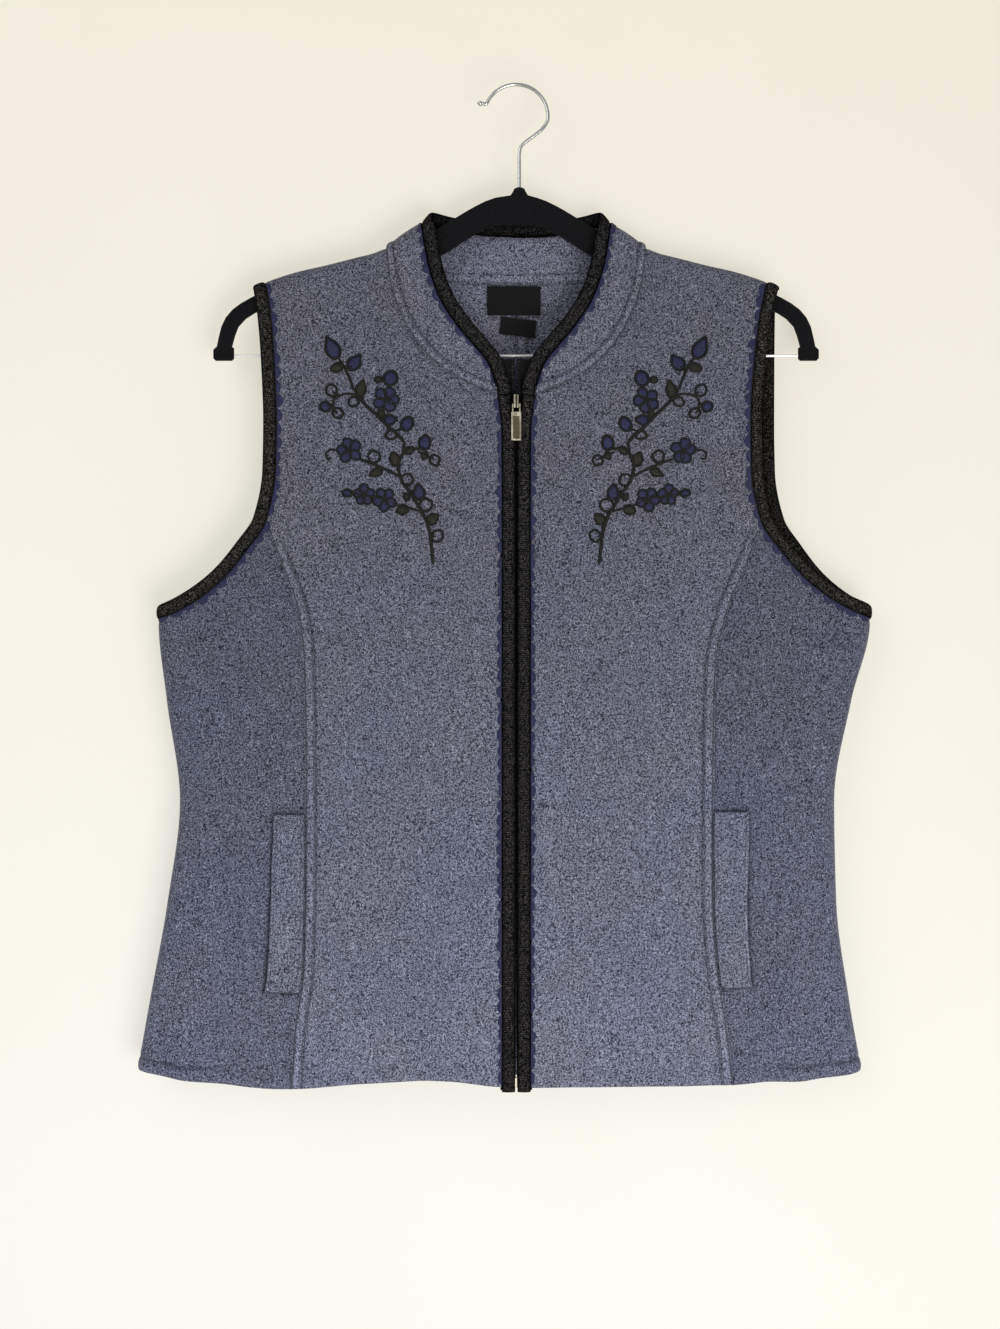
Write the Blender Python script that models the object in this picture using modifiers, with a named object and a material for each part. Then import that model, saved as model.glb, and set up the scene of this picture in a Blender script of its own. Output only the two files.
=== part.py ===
"""An embroidered boiled-wool vest on a flocked clothes hanger, built from its cut pieces.

Metres, +Z up, the front faces -Y. The origin is the top of the hook, by which a nail
or a rail carries it, so the whole part hangs below z = 0. Right and left are the wearer's:
right is -X and left is +X.

Cloth is worked out on two flat faces, front and back. A flat point (across, up) is laid on
its face by drape(), which rolls it over a small fold at the side seam and at the shoulder
line and lets it bulge in between. Every panel is a patch of flat points between its seams.
"""

from math import cos, pi, radians, sin

import bmesh
import bpy
import numpy as np
from mathutils import Matrix

# ---- Driving sizes ----
CLOTH = 0.0024  # boiled wool wall
GAP = 0.0003  # between neighbouring pieces
EDGE_GAP = 0.0006  # between a binding and the curved cloth edge it finishes
SIDE_FOLD = 0.0090  # radius of the fold at the side seam, at mid wall
SHOULDER_FOLD = 0.0062  # radius of the fold over the hanger's arm, at mid wall
SHOULDER_FALL = {"front": 0.115, "back": 0.070}  # depth grows to full over this drop
BINDING_WIDTH, BINDING_THICK = 0.0098, 0.0056
RIDGE_WIDTH, RIDGE_HEIGHT = 0.0076, 0.0012  # topstitched seam allowance
COLLAR_SEAM_WIDTH = 0.0066
WELT_THICK, WELT_LIFT = 0.0034, 0.0014
TAPE_THICK, TAPE_HALF = 0.0010, 0.0125
CHAIN_RADIUS = 0.0011  # the bead that carries the zip's teeth
PRINCESS_ROWS = 12  # rows of points that both fronts share along the princess seam
FOLD_STEPS = SHOULDER_FOLD * np.array([0, 0.6, 1.2, 1.9])  # drops below the shoulder line
BACK_ROWS = 10  # rows of points along the back's side seam
NECK_STEPS = {"front": 9, "back": 7}  # points along the neck seam, below those over the fold
PRINCESS_TOP = (0.1825, -0.3245)  # where the princess seam meets the armhole
SIDES = (("right", -1), ("left", 1))

# ---- The garment's lines, one row for each station; lengths are along the cloth ----
HALF_WIDTHS = (  # height, right half, left half (outside of the wall)
    (-0.7250, 0.2780, 0.2537),
    (-0.6750, 0.2692, 0.2449),
    (-0.6014, 0.2560, 0.2354),
    (-0.5279, 0.2471, 0.2339),
    (-0.4543, 0.2567, 0.2464),
    (-0.3960, 0.2628, 0.2602),
    (-0.3000, 0.2628, 0.2602),
)
SHOULDER_LINE = (  # distance from the centre, height at mid wall
    (0.000, -0.1120),
    (0.060, -0.1120),
    (0.080, -0.1172),
    (0.094, -0.1226),
    (0.105, -0.1270),
    (0.117, -0.1300),
    (0.139, -0.1356),
    (0.161, -0.1407),
    (0.183, -0.1480),
    (0.194, -0.1530),
    (0.215, -0.1640),
)
ARMHOLE = (  # distance from the centre, height; starts on the shoulder line
    (0.1835, -0.1452),
    (0.1793, -0.1700),
    (0.1762, -0.2070),
    (0.1744, -0.2510),
    (0.1750, -0.2860),
    PRINCESS_TOP,
    (0.1955, -0.3440),
    (0.2150, -0.3670),
    (0.2350, -0.3825),
    (0.2540, -0.3925),
    (0.2670, -0.3960),
)
PRINCESS_KNOT = 5  # the armhole row where the princess seam starts
ARMHOLE_OUT = {  # each edge's own distance outside the table's, away from its two ends
    "front": {"right": 0.0, "left": -0.0040},
    "back": {"right": 0.0, "left": 0.0065},
}
PRINCESS_SEAM = (  # height, right distance, left distance
    (-0.7360, 0.1640, 0.1582),
    (-0.6950, 0.1615, 0.1538),
    (-0.6520, 0.1556, 0.1473),
    (-0.6000, 0.1540, 0.1438),
    (-0.5500, 0.1537, 0.1436),
    (-0.4780, 0.1538, 0.1442),
    (-0.4280, 0.1550, 0.1460),
    (-0.3880, 0.1597, 0.1545),
    (-0.3740, 0.1640, 0.1598),
    (-0.3500, 0.1733, 0.1704),
    (PRINCESS_TOP[1], PRINCESS_TOP[0], PRINCESS_TOP[0] + ARMHOLE_OUT["front"]["left"]),
)
HEMS = {  # face: (across, height)
    "front": (
        (-0.2830, -0.7240),
        (-0.2300, -0.7330),
        (-0.1715, -0.7375),
        (-0.1133, -0.7330),
        (-0.0490, -0.7293),
        (-0.0120, -0.7340),
        (0.0120, -0.7345),
        (0.1480, -0.7345),
        (0.1930, -0.7325),
        (0.2390, -0.7285),
        (0.2590, -0.7240),
    ),
    "back": (
        (-0.2830, -0.7240),
        (-0.1800, -0.7325),
        (0.0000, -0.7335),
        (0.1600, -0.7320),
        (0.2590, -0.7240),
    ),
}
BULGES = {  # face: (height, how far the middle stands out past the folds)
    "front": ((-0.740, 0.0135), (-0.550, 0.0115), (-0.400, 0.0115), (-0.250, 0.0090), (-0.120, 0.0080)),
    "back": ((-0.740, 0.0100), (-0.550, 0.0085), (-0.400, 0.0085), (-0.250, 0.0095), (-0.120, 0.0110)),
}
FOLDS = {  # face: (across, half width, depth, height where it starts, height where it is full)
    "front": (
        (-0.045, 0.021, 0.0042, -0.540, -0.700),
        (0.207, 0.013, 0.0036, -0.540, -0.660),
        (0.180, 0.012, -0.0022, -0.500, -0.600),
        (-0.213, 0.014, -0.0026, -0.480, -0.580),
        (-0.243, 0.014, 0.0028, -0.560, -0.700),
    ),
    "back": (
        (-0.085, 0.030, 0.0036, -0.420, -0.680),
        (-0.165, 0.026, -0.0026, -0.480, -0.660),
        (0.110, 0.027, 0.0040, -0.380, -0.640),
        (0.190, 0.020, -0.0024, -0.500, -0.680),
    ),
}
COLLAR = (  # seam: distance, height; neck edge: distance, forward of the hanger, height
    (0.0139, -0.2319, 0.0144, 0.0189, -0.2262),
    (0.0263, -0.2278, 0.0203, 0.0193, -0.2100),
    (0.0475, -0.2174, 0.0313, 0.0190, -0.1960),
    (0.0664, -0.2017, 0.0452, 0.0178, -0.1790),
    (0.0827, -0.1771, 0.0573, 0.0153, -0.1582),
    (0.0931, -0.1465, 0.0652, 0.0105, -0.1325),
    (0.0949, -0.1300, 0.0690, 0.0066, -0.1090),
    (0.0955, -0.1201, 0.0695, 0.0000, -0.1045),
    (0.0885, -0.1330, 0.0650, -0.0085, -0.1035),
    (0.0760, -0.1400, 0.0530, -0.0140, -0.1055),
    (0.0530, -0.1440, 0.0350, -0.0172, -0.1083),
    (0.0270, -0.1455, 0.0175, -0.0186, -0.1098),
    (0.0000, -0.1460, 0.0000, -0.0190, -0.1103),
)
COLLAR_TOP = 7  # the row on the shoulder line
FRONT_EDGE = (  # height, inner and outer edge of the binding beside the zip
    (-0.7375, 0.0008, 0.0104),
    (-0.2900, 0.0008, 0.0104),
    (-0.2590, 0.0014, 0.0106),
    (-0.2400, 0.0038, 0.0126),
    (-0.2325, 0.0042, 0.0136),
)
WELTS = {  # side: (top height, bottom height, top width, bottom width)
    "right": (-0.5375, -0.6665, 0.0220, 0.0250),
    "left": (-0.5355, -0.6630, 0.0248, 0.0215),
}
CHAIN_EDGE = (  # height, distance of the zip's bead from the centre
    (-0.7275, 0.0004),
    (-0.2450, 0.0004),
    (-0.2390, 0.0013),
    (-0.2050, 0.0013),
)
HANGER = (  # distance from the centre, top height, bottom height
    (0.0080, -0.0832, -0.1042),
    (0.0177, -0.0857, -0.1056),
    (0.0300, -0.0913, -0.1115),
    (0.0425, -0.0986, -0.1195),
    (0.0550, -0.1062, -0.1272),
    (0.0670, -0.1128, -0.1328),
    (0.0800, -0.1190, -0.1376),
    (0.0940, -0.1252, -0.1425),
    (0.1050, -0.1294, -0.1462),
    (0.1170, -0.1324, -0.1490),
    (0.1390, -0.1380, -0.1540),
    (0.1610, -0.1431, -0.1586),
    (0.1830, -0.1526, -0.1655),
)
HANGER_TIP_TOP = ((0.1970, -0.1596), (0.2080, -0.1668), (0.2158, -0.1775), (0.2200, -0.1945))
HANGER_TIP_BOTTOM = ((0.1960, -0.1716), (0.2045, -0.1800), (0.2090, -0.1945))
HANGER_CAP = (0.2075, 0.2225, -0.1953, -0.2045)  # inner, outer, top, bottom
HANGER_DOME = (0.0045, 0.0064, -0.0772)  # top half width, base half width, top height
HANGER_THICK, HANGER_ROUND = 0.0060, 0.0014
WIRE = 0.0014  # the hook's wire radius
HOOK_RADIUS = 0.0235  # of the hook's bend, at mid wire
HOOK_ARC = (-4, 151)  # degrees from level, of the bend's start and end
HOOK_NECK = (  # the wire's way from the top of the stem up to the bend: across, height
    (0.0024, -0.0640),
    (0.0024, -0.0535),
    (0.0030, -0.0486),
    (0.0051, -0.0454),
    (0.0092, -0.0421),
    (0.0143, -0.0383),
    (0.0190, -0.0344),
    (0.0222, -0.0301),
)
STEM_AT = 0.0024  # the stem stands this far to the left of the hanging point
STEM_DEPTH, STEM_CLEAR = 0.0150, 0.0003
BAR_HEIGHT, BAR_RADIUS = -0.2010, 0.0010

COLORS = {  # finish: (red, green, blue), roughness, metallic
    "wool": ((0.120, 0.123, 0.165), 0.95, 0.0),
    "knit trim": ((0.017, 0.017, 0.018), 0.90, 0.0),
    "zip tape": ((0.010, 0.010, 0.011), 0.85, 0.0),
    "antique brass": ((0.52, 0.46, 0.34), 0.32, 1.0),
    "label": ((0.008, 0.008, 0.009), 0.60, 0.0),
    "flock": ((0.008, 0.008, 0.008), 0.98, 0.0),
    "chrome": ((0.72, 0.73, 0.74), 0.16, 1.0),
}


# ---- Scene, finishes and small mesh tools ----
def clear_scene():
    for thing in list(bpy.data.objects):
        bpy.data.objects.remove(thing, do_unlink=True)


def finish(name):
    """The named finish as a Principled material, made once."""
    if name in bpy.data.materials:
        return bpy.data.materials[name]
    color, roughness, metallic = COLORS[name]
    material = bpy.data.materials.new(name)
    material.use_nodes = True
    shader = material.node_tree.nodes["Principled BSDF"]
    shader.inputs["Base Color"].default_value = (*color, 1.0)
    shader.inputs["Roughness"].default_value = roughness
    shader.inputs["Metallic"].default_value = metallic
    return material


def collection(name):
    if name not in bpy.data.collections:
        bpy.context.scene.collection.children.link(bpy.data.collections.new(name))
    return bpy.data.collections[name]


def add_mesh(name, points, faces, look, smooth=True):
    """A mesh object from point and face lists, with its faces turned outwards."""
    mesh = bpy.data.meshes.new(name)
    mesh.from_pydata([tuple(point) for point in points], [], faces)
    shape = bmesh.new()
    shape.from_mesh(mesh)
    bmesh.ops.recalc_face_normals(shape, faces=shape.faces)
    if shape.calc_volume(signed=True) < 0:
        bmesh.ops.reverse_faces(shape, faces=shape.faces)
    shape.to_mesh(mesh)
    shape.free()
    mesh.materials.append(finish(look))
    if smooth:
        mesh.shade_smooth()
        mesh.set_sharp_from_angle(angle=radians(40))
    thing = bpy.data.objects.new(name, mesh)
    collection("Embroidered vest").objects.link(thing)
    return thing


def smooth(knots, values, at):
    """Cubic Hermite curve through the knots; its slopes never let it overshoot a knot."""
    knots, values = np.asarray(knots, float), np.asarray(values, float)
    steps, rises = np.diff(knots), np.diff(values) / np.diff(knots)
    before, after = rises[:-1], rises[1:]
    near, far = 2 * steps[1:] + steps[:-1], steps[1:] + 2 * steps[:-1]
    same = before * after > 0
    safe_before, safe_after = np.where(same, before, 1), np.where(same, after, 1)
    middle = np.where(same, (near + far) / (near / safe_before + far / safe_after), 0)
    slopes = np.concatenate([rises[:1], middle, rises[-1:]])
    at = np.clip(at, knots[0], knots[-1])
    low = np.clip(np.searchsorted(knots, at) - 1, 0, len(knots) - 2)
    step = knots[low + 1] - knots[low]
    t = (at - knots[low]) / step
    return (
        values[low] * (1 + 2 * t) * (1 - t) ** 2
        + values[low + 1] * t * t * (3 - 2 * t)
        + step * slopes[low] * t * (1 - t) ** 2
        - step * slopes[low + 1] * t * t * (1 - t)
    )


def column(rows, key, at):
    """Reads one column of a table whose first column rises."""
    return smooth([row[0] for row in rows], [row[key] for row in rows], at)


def path(points, at):
    """A smooth line through points of any dimension; 0 to 1 runs along its length."""
    points = np.asarray(points, float)
    length = np.concatenate([[0], np.cumsum(np.linalg.norm(np.diff(points, axis=0), axis=1))])
    length /= length[-1]
    return np.stack([smooth(length, points[:, k], at) for k in range(points.shape[1])], axis=-1)


def along(points):
    """A dense line of points as a function of 0 to 1 along its length."""
    points = np.asarray(points, float)
    length = np.concatenate([[0], np.cumsum(np.linalg.norm(np.diff(points, axis=0), axis=1))])
    length /= length[-1]

    def at(share):
        return np.stack([np.interp(share, length, points[:, k]) for k in range(points.shape[1])], axis=-1)

    return at


def unit(vectors):
    return vectors / np.linalg.norm(vectors, axis=-1, keepdims=True)


def ease(t):
    t = np.clip(t, 0, 1)
    return t * t * (3 - 2 * t)


# ---- How the cloth lies ----
def half_width(height, sign):
    """Distance from the centre to the side seam, at mid wall."""
    return column(HALF_WIDTHS, 1 if sign < 0 else 2, height) - CLOTH / 2


def side_reach(height, sign):
    """The same distance measured along the cloth, round the fold."""
    return half_width(height, sign) + (pi / 2 - 1) * SIDE_FOLD


def crest(across):
    """Height of the shoulder line measured along the cloth, over its fold."""
    return column(SHOULDER_LINE, 1, np.abs(across)) + (pi / 2 - 1) * SHOULDER_FOLD


def fold_depth(face, x, height):
    """Soft vertical folds: a bell across, growing downwards from where each one starts."""
    depth = np.zeros(np.broadcast(x, height).shape)
    for across, half, deep, start, full in FOLDS[face]:
        grow = ease((start - height) / (start - full))
        depth = depth + deep * grow * np.exp(-(((x - across) / half) ** 2))
    return depth


def drape(flat, face):
    """Lays flat points (across, up) on the front or the back of the hanging vest."""
    across, up = flat[..., 0], flat[..., 1]
    sign = np.where(across < 0, -1.0, 1.0)
    wide = np.where(across < 0, half_width(up, -1), half_width(up, 1))
    left_over = wide + (pi / 2 - 1) * SIDE_FOLD - np.abs(across)
    turn = np.clip(left_over / SIDE_FOLD, -pi / 2, pi / 2)
    flat_run = np.maximum(left_over - SIDE_FOLD * pi / 2, 0)
    x = sign * (wide - SIDE_FOLD * (1 - np.cos(turn)) - flat_run)
    below = crest(x) - up
    tip = np.clip(below / SHOULDER_FOLD, -pi / 2, pi / 2)
    hang = np.maximum(below - SHOULDER_FOLD * pi / 2, 0)
    z = column(SHOULDER_LINE, 1, np.abs(x)) - SHOULDER_FOLD * (1 - np.cos(tip)) - hang
    middle = np.cos(pi / 2 * np.clip(np.abs(x) / wide, 0, 1)) ** 2
    swell = SIDE_FOLD + column(BULGES[face], 1, up) * middle + fold_depth(face, x, up)
    full = swell * np.sin(turn)
    share = ease(below / SHOULDER_FALL[face])
    depth = np.sin(tip) * (SHOULDER_FOLD + share * (full - SHOULDER_FOLD))
    return np.stack([x, depth * (-1 if face == "front" else 1), z], axis=-1)


def drape_normal(flat, face):
    """Outward normal of the draped cloth, from two short steps over the flat."""
    step = 1e-4
    right = drape(flat + (step, 0), face) - drape(flat - (step, 0), face)
    rise = drape(flat + (0, step), face) - drape(flat - (0, step), face)
    return unit(np.cross(right, rise) * (1 if face == "front" else -1))


# ---- Walls, strips and patches ----
def patch(bottom, top, inner, outer, u, v):
    """Coons patch: the four border lines blended across u and v."""
    u, v = u[..., None], v[..., None]
    corners = (
        (1 - u) * (1 - v) * bottom(np.array(0.0))
        + u * (1 - v) * bottom(np.array(1.0))
        + (1 - u) * v * top(np.array(0.0))
        + u * v * top(np.array(1.0))
    )
    across = (1 - v) * bottom(u[..., 0]) + v * top(u[..., 0])
    upright = (1 - u) * inner(v[..., 0]) + u * outer(v[..., 0])
    return across + upright - corners


def shell(name, outside, inside, look):
    """A closed wall between two grids of points with the same rows and columns."""
    rows, cols = outside.shape[:2]
    index = np.arange(rows * cols).reshape(rows, cols)
    under = index + rows * cols
    quads = []
    for sheet, order in ((index, 1), (under, -1)):
        corners = (sheet[:-1, :-1], sheet[:-1, 1:], sheet[1:, 1:], sheet[1:, :-1])
        quads += np.stack(corners[::order], axis=-1).reshape(-1, 4).tolist()
    rim = np.concatenate([index[0, :-1], index[:-1, -1], index[-1, :0:-1], index[:0:-1, 0]])
    ring = np.append(rim, rim[0])
    below = ring + rows * cols
    quads += np.stack([ring[1:], ring[:-1], below[:-1], below[1:]], axis=-1).tolist()
    points = np.concatenate([outside.reshape(-1, 3), inside.reshape(-1, 3)])
    return add_mesh(name, points, quads, look)


def cloth_wall(name, flat, face, look="wool", raised=0.0):
    """A cloth panel: a plain inside, and an outside raised where its seams are thicker."""
    middle, normal = drape(flat, face), drape_normal(flat, face)
    raised = np.broadcast_to(raised, flat.shape[:2])[..., None]
    outside = middle + normal * (CLOTH / 2 + raised)
    return shell(name, outside, middle - normal * CLOTH / 2, look)


def strip(name, centre, across, width, thick, look, closed=False):
    """A knit strip with rounded edges along a line; across points over its width."""
    if closed:
        ahead = np.roll(centre, -1, axis=0) - np.roll(centre, 1, axis=0)
    else:
        ahead = np.gradient(centre, axis=0)
    ahead = unit(ahead)
    across = unit(across - ahead * np.sum(across * ahead, axis=1, keepdims=True))
    normal = np.cross(ahead, across)
    width = np.broadcast_to(width, len(centre))
    flat_side, shoulder = 0.20 * thick, 0.30 * thick
    section = [(1, 1), (1, -1), (-1, -1), (-1, 1)]
    rings = []
    for k, (s, t) in enumerate(section):
        wide = ((s * width / 2, t * flat_side), (s * (width / 2 - shoulder), t * thick / 2))
        rings += wide if k % 2 else wide[::-1]
    ring = np.stack([across * np.reshape(a, (-1, 1)) + normal * b for a, b in rings], axis=1)
    points = centre[:, None] + ring
    count, sides = points.shape[:2]
    index = np.arange(count * sides).reshape(count, sides)
    following = np.roll(index, -1, axis=0) if closed else index[1:]
    current = index if closed else index[:-1]
    corners = (current, np.roll(current, -1, axis=1), np.roll(following, -1, axis=1), following)
    faces = np.stack(corners, axis=-1).reshape(-1, 4).tolist()
    if not closed:
        faces += [index[0, ::-1].tolist(), index[-1].tolist()]
    return add_mesh(name, points.reshape(-1, 3), faces, look)


def inset_columns(width, steps, spread):
    """Shares 0 to 1 across a patch: fixed steps in from the outer edge, then even columns.

    width is the patch's own width for each row, and steps are distances from its outer edge.
    """
    near = 1 - np.asarray(steps)[None] / width[:, None]
    even = near[:, -1:] * np.linspace(0, 1, spread + 1)[None, :-1]
    return np.concatenate([even, near[:, ::-1]], axis=1)


def rows_through(points):
    """A border line that has one point for each row of the panel."""
    share = np.linspace(0, 1, len(points))
    return lambda t: np.stack([np.interp(t, share, points[:, k]) for k in (0, 1)], axis=-1)


def panel_grid(bottom, top, inner, outer, steps, spread):
    """Flat points of a panel whose side borders have one point for each of its rows."""
    v = np.linspace(0, 1, len(inner))
    u = inset_columns(np.linalg.norm(outer - inner, axis=1), steps, spread)
    grid_v = np.broadcast_to(v[:, None], u.shape)
    return patch(bottom, top, rows_through(inner), rows_through(outer), u, grid_v)


# ---- The cut lines, as functions of 0 to 1 ----
def hem(face, start, end):
    return lambda t: np.stack(
        [start + (end - start) * t, column(HEMS[face], 1, start + (end - start) * t)], axis=-1
    )


def armhole_points(side, sign, face):
    """The armhole's edge in flat points, from the shoulder down to the underarm."""
    rows = np.array(ARMHOLE)
    share = np.linspace(0, 1, len(rows))
    rows[:, 0] += ARMHOLE_OUT[face][side] * ease(share / 0.3) * ease((1 - share) / 0.5)
    rows[0, 1] = crest(rows[0, 0])
    rows[-1, 0] = side_reach(rows[-1, 1], sign)
    knots = np.concatenate([[0], np.cumsum(np.linalg.norm(np.diff(rows, axis=0), axis=1))])
    low = 1 - SIDE_FOLD * np.array([2.4, 1.7, 1.1, 0.55, 0]) / knots[-1]
    high = FOLD_STEPS / knots[-1]
    meet = knots[PRINCESS_KNOT] / knots[-1]
    upper = np.linspace(high[-1], meet, 13)[1:]
    lower = np.linspace(meet, low[0], 6)[1:-1]
    return path(rows, np.concatenate([high, upper, lower, low])) * (sign, 1)


def princess(side, sign, offset):
    """The princess seam from the hem up to the armhole, moved sideways by offset."""
    key = 1 if sign < 0 else 2
    low = column(HEMS["front"], 1, sign * PRINCESS_SEAM[0][key])
    height = np.linspace(low, PRINCESS_TOP[1], PRINCESS_ROWS)
    across = column(PRINCESS_SEAM, key, height) + offset
    return np.stack([sign * across, height], axis=-1)


def side_seam(sign, face, rows):
    """The side seam from the hem up to the underarm, half a gap short of the fold's end."""
    height = np.linspace(HEMS[face][0][1], ARMHOLE[-1][1], rows)
    return np.stack([sign * (side_reach(height, sign) - GAP / 2), height], axis=-1)


def neck_points(face):
    """The collar table at its stations on one face, from the centre out to the shoulder.

    Its columns are the table's, then the neck seam's direction in the flat.
    """
    rows = np.array(COLLAR)
    rows[COLLAR_TOP, 1] = crest(rows[COLLAR_TOP, 0])
    first, last = (0, COLLAR_TOP) if face == "front" else (len(rows) - 1, COLLAR_TOP)
    at = np.linspace(first, last, 91)
    knots = np.arange(len(rows))
    fine = np.stack([smooth(knots, rows[:, k], at) for k in range(rows.shape[1])], axis=-1)
    fine = np.concatenate([fine, unit(np.gradient(fine[:, :2], axis=0))], axis=1)
    run = np.linalg.norm(np.diff(fine[:, :2], axis=0), axis=1)
    left = np.concatenate([np.cumsum(run[::-1])[::-1], [0]])
    even = np.linspace(left[0], FOLD_STEPS[-1], NECK_STEPS[face] + 1)[:-1]
    stations = np.concatenate([even, FOLD_STEPS[::-1]])
    return np.stack([np.interp(-stations, -left, fine[:, k]) for k in range(7)], axis=-1)


def collar_seam(face, sign, offset):
    """The panel's edge at the neck seam, from the centre out to the shoulder line."""
    points = neck_points(face)
    line = points[:, :2] + offset * np.stack([points[:, 6], -points[:, 5]], axis=-1)
    line[-1, 1] = crest(line[-1, 0]) - GAP / 2
    return line * (sign, 1)


# ---- The vest's pieces ----
def shoulder_seam(sign, start, end):
    """Half a gap below the shoulder line, from the collar out to the armhole."""
    across = np.linspace(abs(start), abs(end), 17)
    return along(np.stack([sign * across, crest(across) - GAP / 2], axis=-1))


def centre_front(side, sign):
    neck = collar_seam("front", sign, GAP / 2)
    low = column(HEMS["front"], 1, sign * 0.0104)
    upper = np.linspace(-0.330, neck[0, 1], 4)[1:]
    height = np.concatenate([np.linspace(low, -0.330, PRINCESS_ROWS), upper])
    edge = np.stack([sign * (column(FRONT_EDGE, 2, height) + GAP), height], axis=-1)
    inner = np.concatenate([edge[:-1], [(edge[-1, 0], neck[0, 1])], neck[1:]])
    hole = armhole_points(side, sign, "front")[15::-1]
    hole[-1, 1] -= GAP / 2
    seam = princess(side, sign, -GAP / 2)
    outer = np.concatenate([seam[:-1], hole])
    bottom = hem("front", edge[0, 0], seam[0, 0])
    top = shoulder_seam(sign, neck[-1, 0], hole[-1, 0])
    steps = (0, 0.0008, RIDGE_WIDTH / 2, RIDGE_WIDTH - 0.0008, RIDGE_WIDTH + 0.0004)
    flat = panel_grid(bottom, top, inner, outer, steps, 8)
    profile = np.array([0.0, 1.0, 1.0, 1.0, 0.4]) * RIDGE_HEIGHT
    raised = np.zeros(flat.shape[:2])
    fade = ease((PRINCESS_ROWS - 1 - np.arange(PRINCESS_ROWS)) / 1.5)
    raised[:PRINCESS_ROWS, -len(steps):] = profile * fade[:, None]
    return cloth_wall(f"front_{side}", flat, "front", raised=raised)


def side_front(side, sign):
    inner = princess(side, sign, GAP / 2)
    hole = armhole_points(side, sign, "front")[15:]
    inner[-1] = hole[0]
    outer = side_seam(sign, "front", PRINCESS_ROWS)
    hole[-1] = outer[-1]
    bottom = hem("front", inner[0, 0], outer[0, 0])
    share = np.concatenate([[0], np.cumsum(np.linalg.norm(np.diff(hole, axis=0), axis=1))])
    share /= share[-1]
    wide = np.linalg.norm(outer - inner, axis=1)
    near = inset_columns(wide, (0, 0.0050, 0.0100, 0.0150, 0.0216), 5)
    v = np.linspace(0, 1, PRINCESS_ROWS)[:, None]
    u = near + (share - near) * ease((v - 0.5) * 2)
    grid_v = np.broadcast_to(v, u.shape)
    flat = patch(bottom, along(hole), rows_through(inner), rows_through(outer), u, grid_v)
    return cloth_wall(f"side_front_{side}", flat, "front")


def back(side, sign):
    neck = collar_seam("back", sign, GAP / 2)
    neck[0, 0] = sign * GAP / 2
    low = column(HEMS["back"], 1, 0.0)
    height = np.concatenate([np.linspace(low, -0.420, BACK_ROWS), np.linspace(-0.420, neck[0, 1], 15)[1:]])
    centre = np.stack([np.full(len(height), sign * GAP / 2), height], axis=-1)
    inner = np.concatenate([centre[:-1], neck])
    hole = armhole_points(side, sign, "back")[::-1]
    hole[-1, 1] -= GAP / 2
    seam = side_seam(sign, "back", BACK_ROWS)
    outer = np.concatenate([seam, hole[1:]])
    bottom = hem("back", centre[0, 0], seam[0, 0])
    top = shoulder_seam(sign, neck[-1, 0], hole[-1, 0])
    flat = panel_grid(bottom, top, inner, outer, (0, 0.0035, 0.0070, 0.0105, 0.0145), 6)
    raised = np.zeros(flat.shape[:2])
    if sign > 0:
        first = np.linalg.norm(flat[:, 1] - flat[:, 0], axis=1)
        share = np.array([0.0008, RIDGE_WIDTH - 0.0008, RIDGE_WIDTH + 0.0004]) / first[:, None]
        ridge = flat[:, :1] + (flat[:, 1:2] - flat[:, :1]) * share[..., None]
        ridge[-1, :, 1] = crest(ridge[-1, :, 0]) - GAP / 2
        flat = np.concatenate([flat[:, :1], ridge, flat[:, 1:]], axis=1)
        raised = np.zeros(flat.shape[:2])
        low_rows = BACK_ROWS + 14
        raised[:low_rows, 0] = 0.4 * RIDGE_HEIGHT
        raised[:low_rows, 1:3] = RIDGE_HEIGHT
    return cloth_wall(f"back_{side}", flat, "back", raised=raised)


def collar_lines():
    """Seam, neck edge and seam normal of the collar, from the right front to the left."""
    halves = []
    for face in ("front", "back"):
        points = neck_points(face)
        edge = np.stack([points[:, 2], -points[:, 3], points[:, 4]], axis=-1)
        flat = points[:, :2]
        lines = np.concatenate([drape(flat, face), edge, drape_normal(flat, face)], axis=1)
        halves.append(lines if face == "front" else lines[::-1])
    half = np.concatenate([halves[0], halves[1][1:]])
    whole = np.concatenate([half * np.tile([-1.0, 1.0, 1.0], 3), half[-2::-1]])
    return whole[:, :3], whole[:, 3:6], unit(whole[:, 6:])


def collar_band():
    seam, edge, seam_normal = collar_lines()
    tall = np.linalg.norm(edge - seam, axis=1)
    scale = np.minimum(1, tall / 0.012)
    steps = np.array([EDGE_GAP - GAP / 2, 0.0012, COLLAR_SEAM_WIDTH - 0.0008, COLLAR_SEAM_WIDTH + 0.0004])
    near = steps[None] * np.where(steps > EDGE_GAP, scale[:, None], 1) / tall[:, None]
    rest = near[:, -1:] + (1 - near[:, -1:]) * np.array([0.45, 1.0])[None]
    share = np.concatenate([near, rest], axis=1)[..., None]
    middle = seam[:, None] * (1 - share) + edge[:, None] * share
    normal = unit(np.cross(np.gradient(middle, axis=0), np.gradient(middle, axis=1)))
    outward = np.sum(normal * seam_normal[:, None], axis=-1, keepdims=True)
    normal = normal * np.sign(outward)
    normal[:, 0] = seam_normal
    middle = middle + normal * (0.0012 * np.sin(pi * share) * np.minimum(1, tall / 0.03)[:, None, None])
    raised = np.array([0.4, 1.0, 1.0, 0.0, 0.0, 0.0])[None, :, None] * RIDGE_HEIGHT
    outside = middle + normal * (CLOTH / 2 + raised)
    return shell("collar", outside, middle - normal * CLOTH / 2, "wool")


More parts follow.
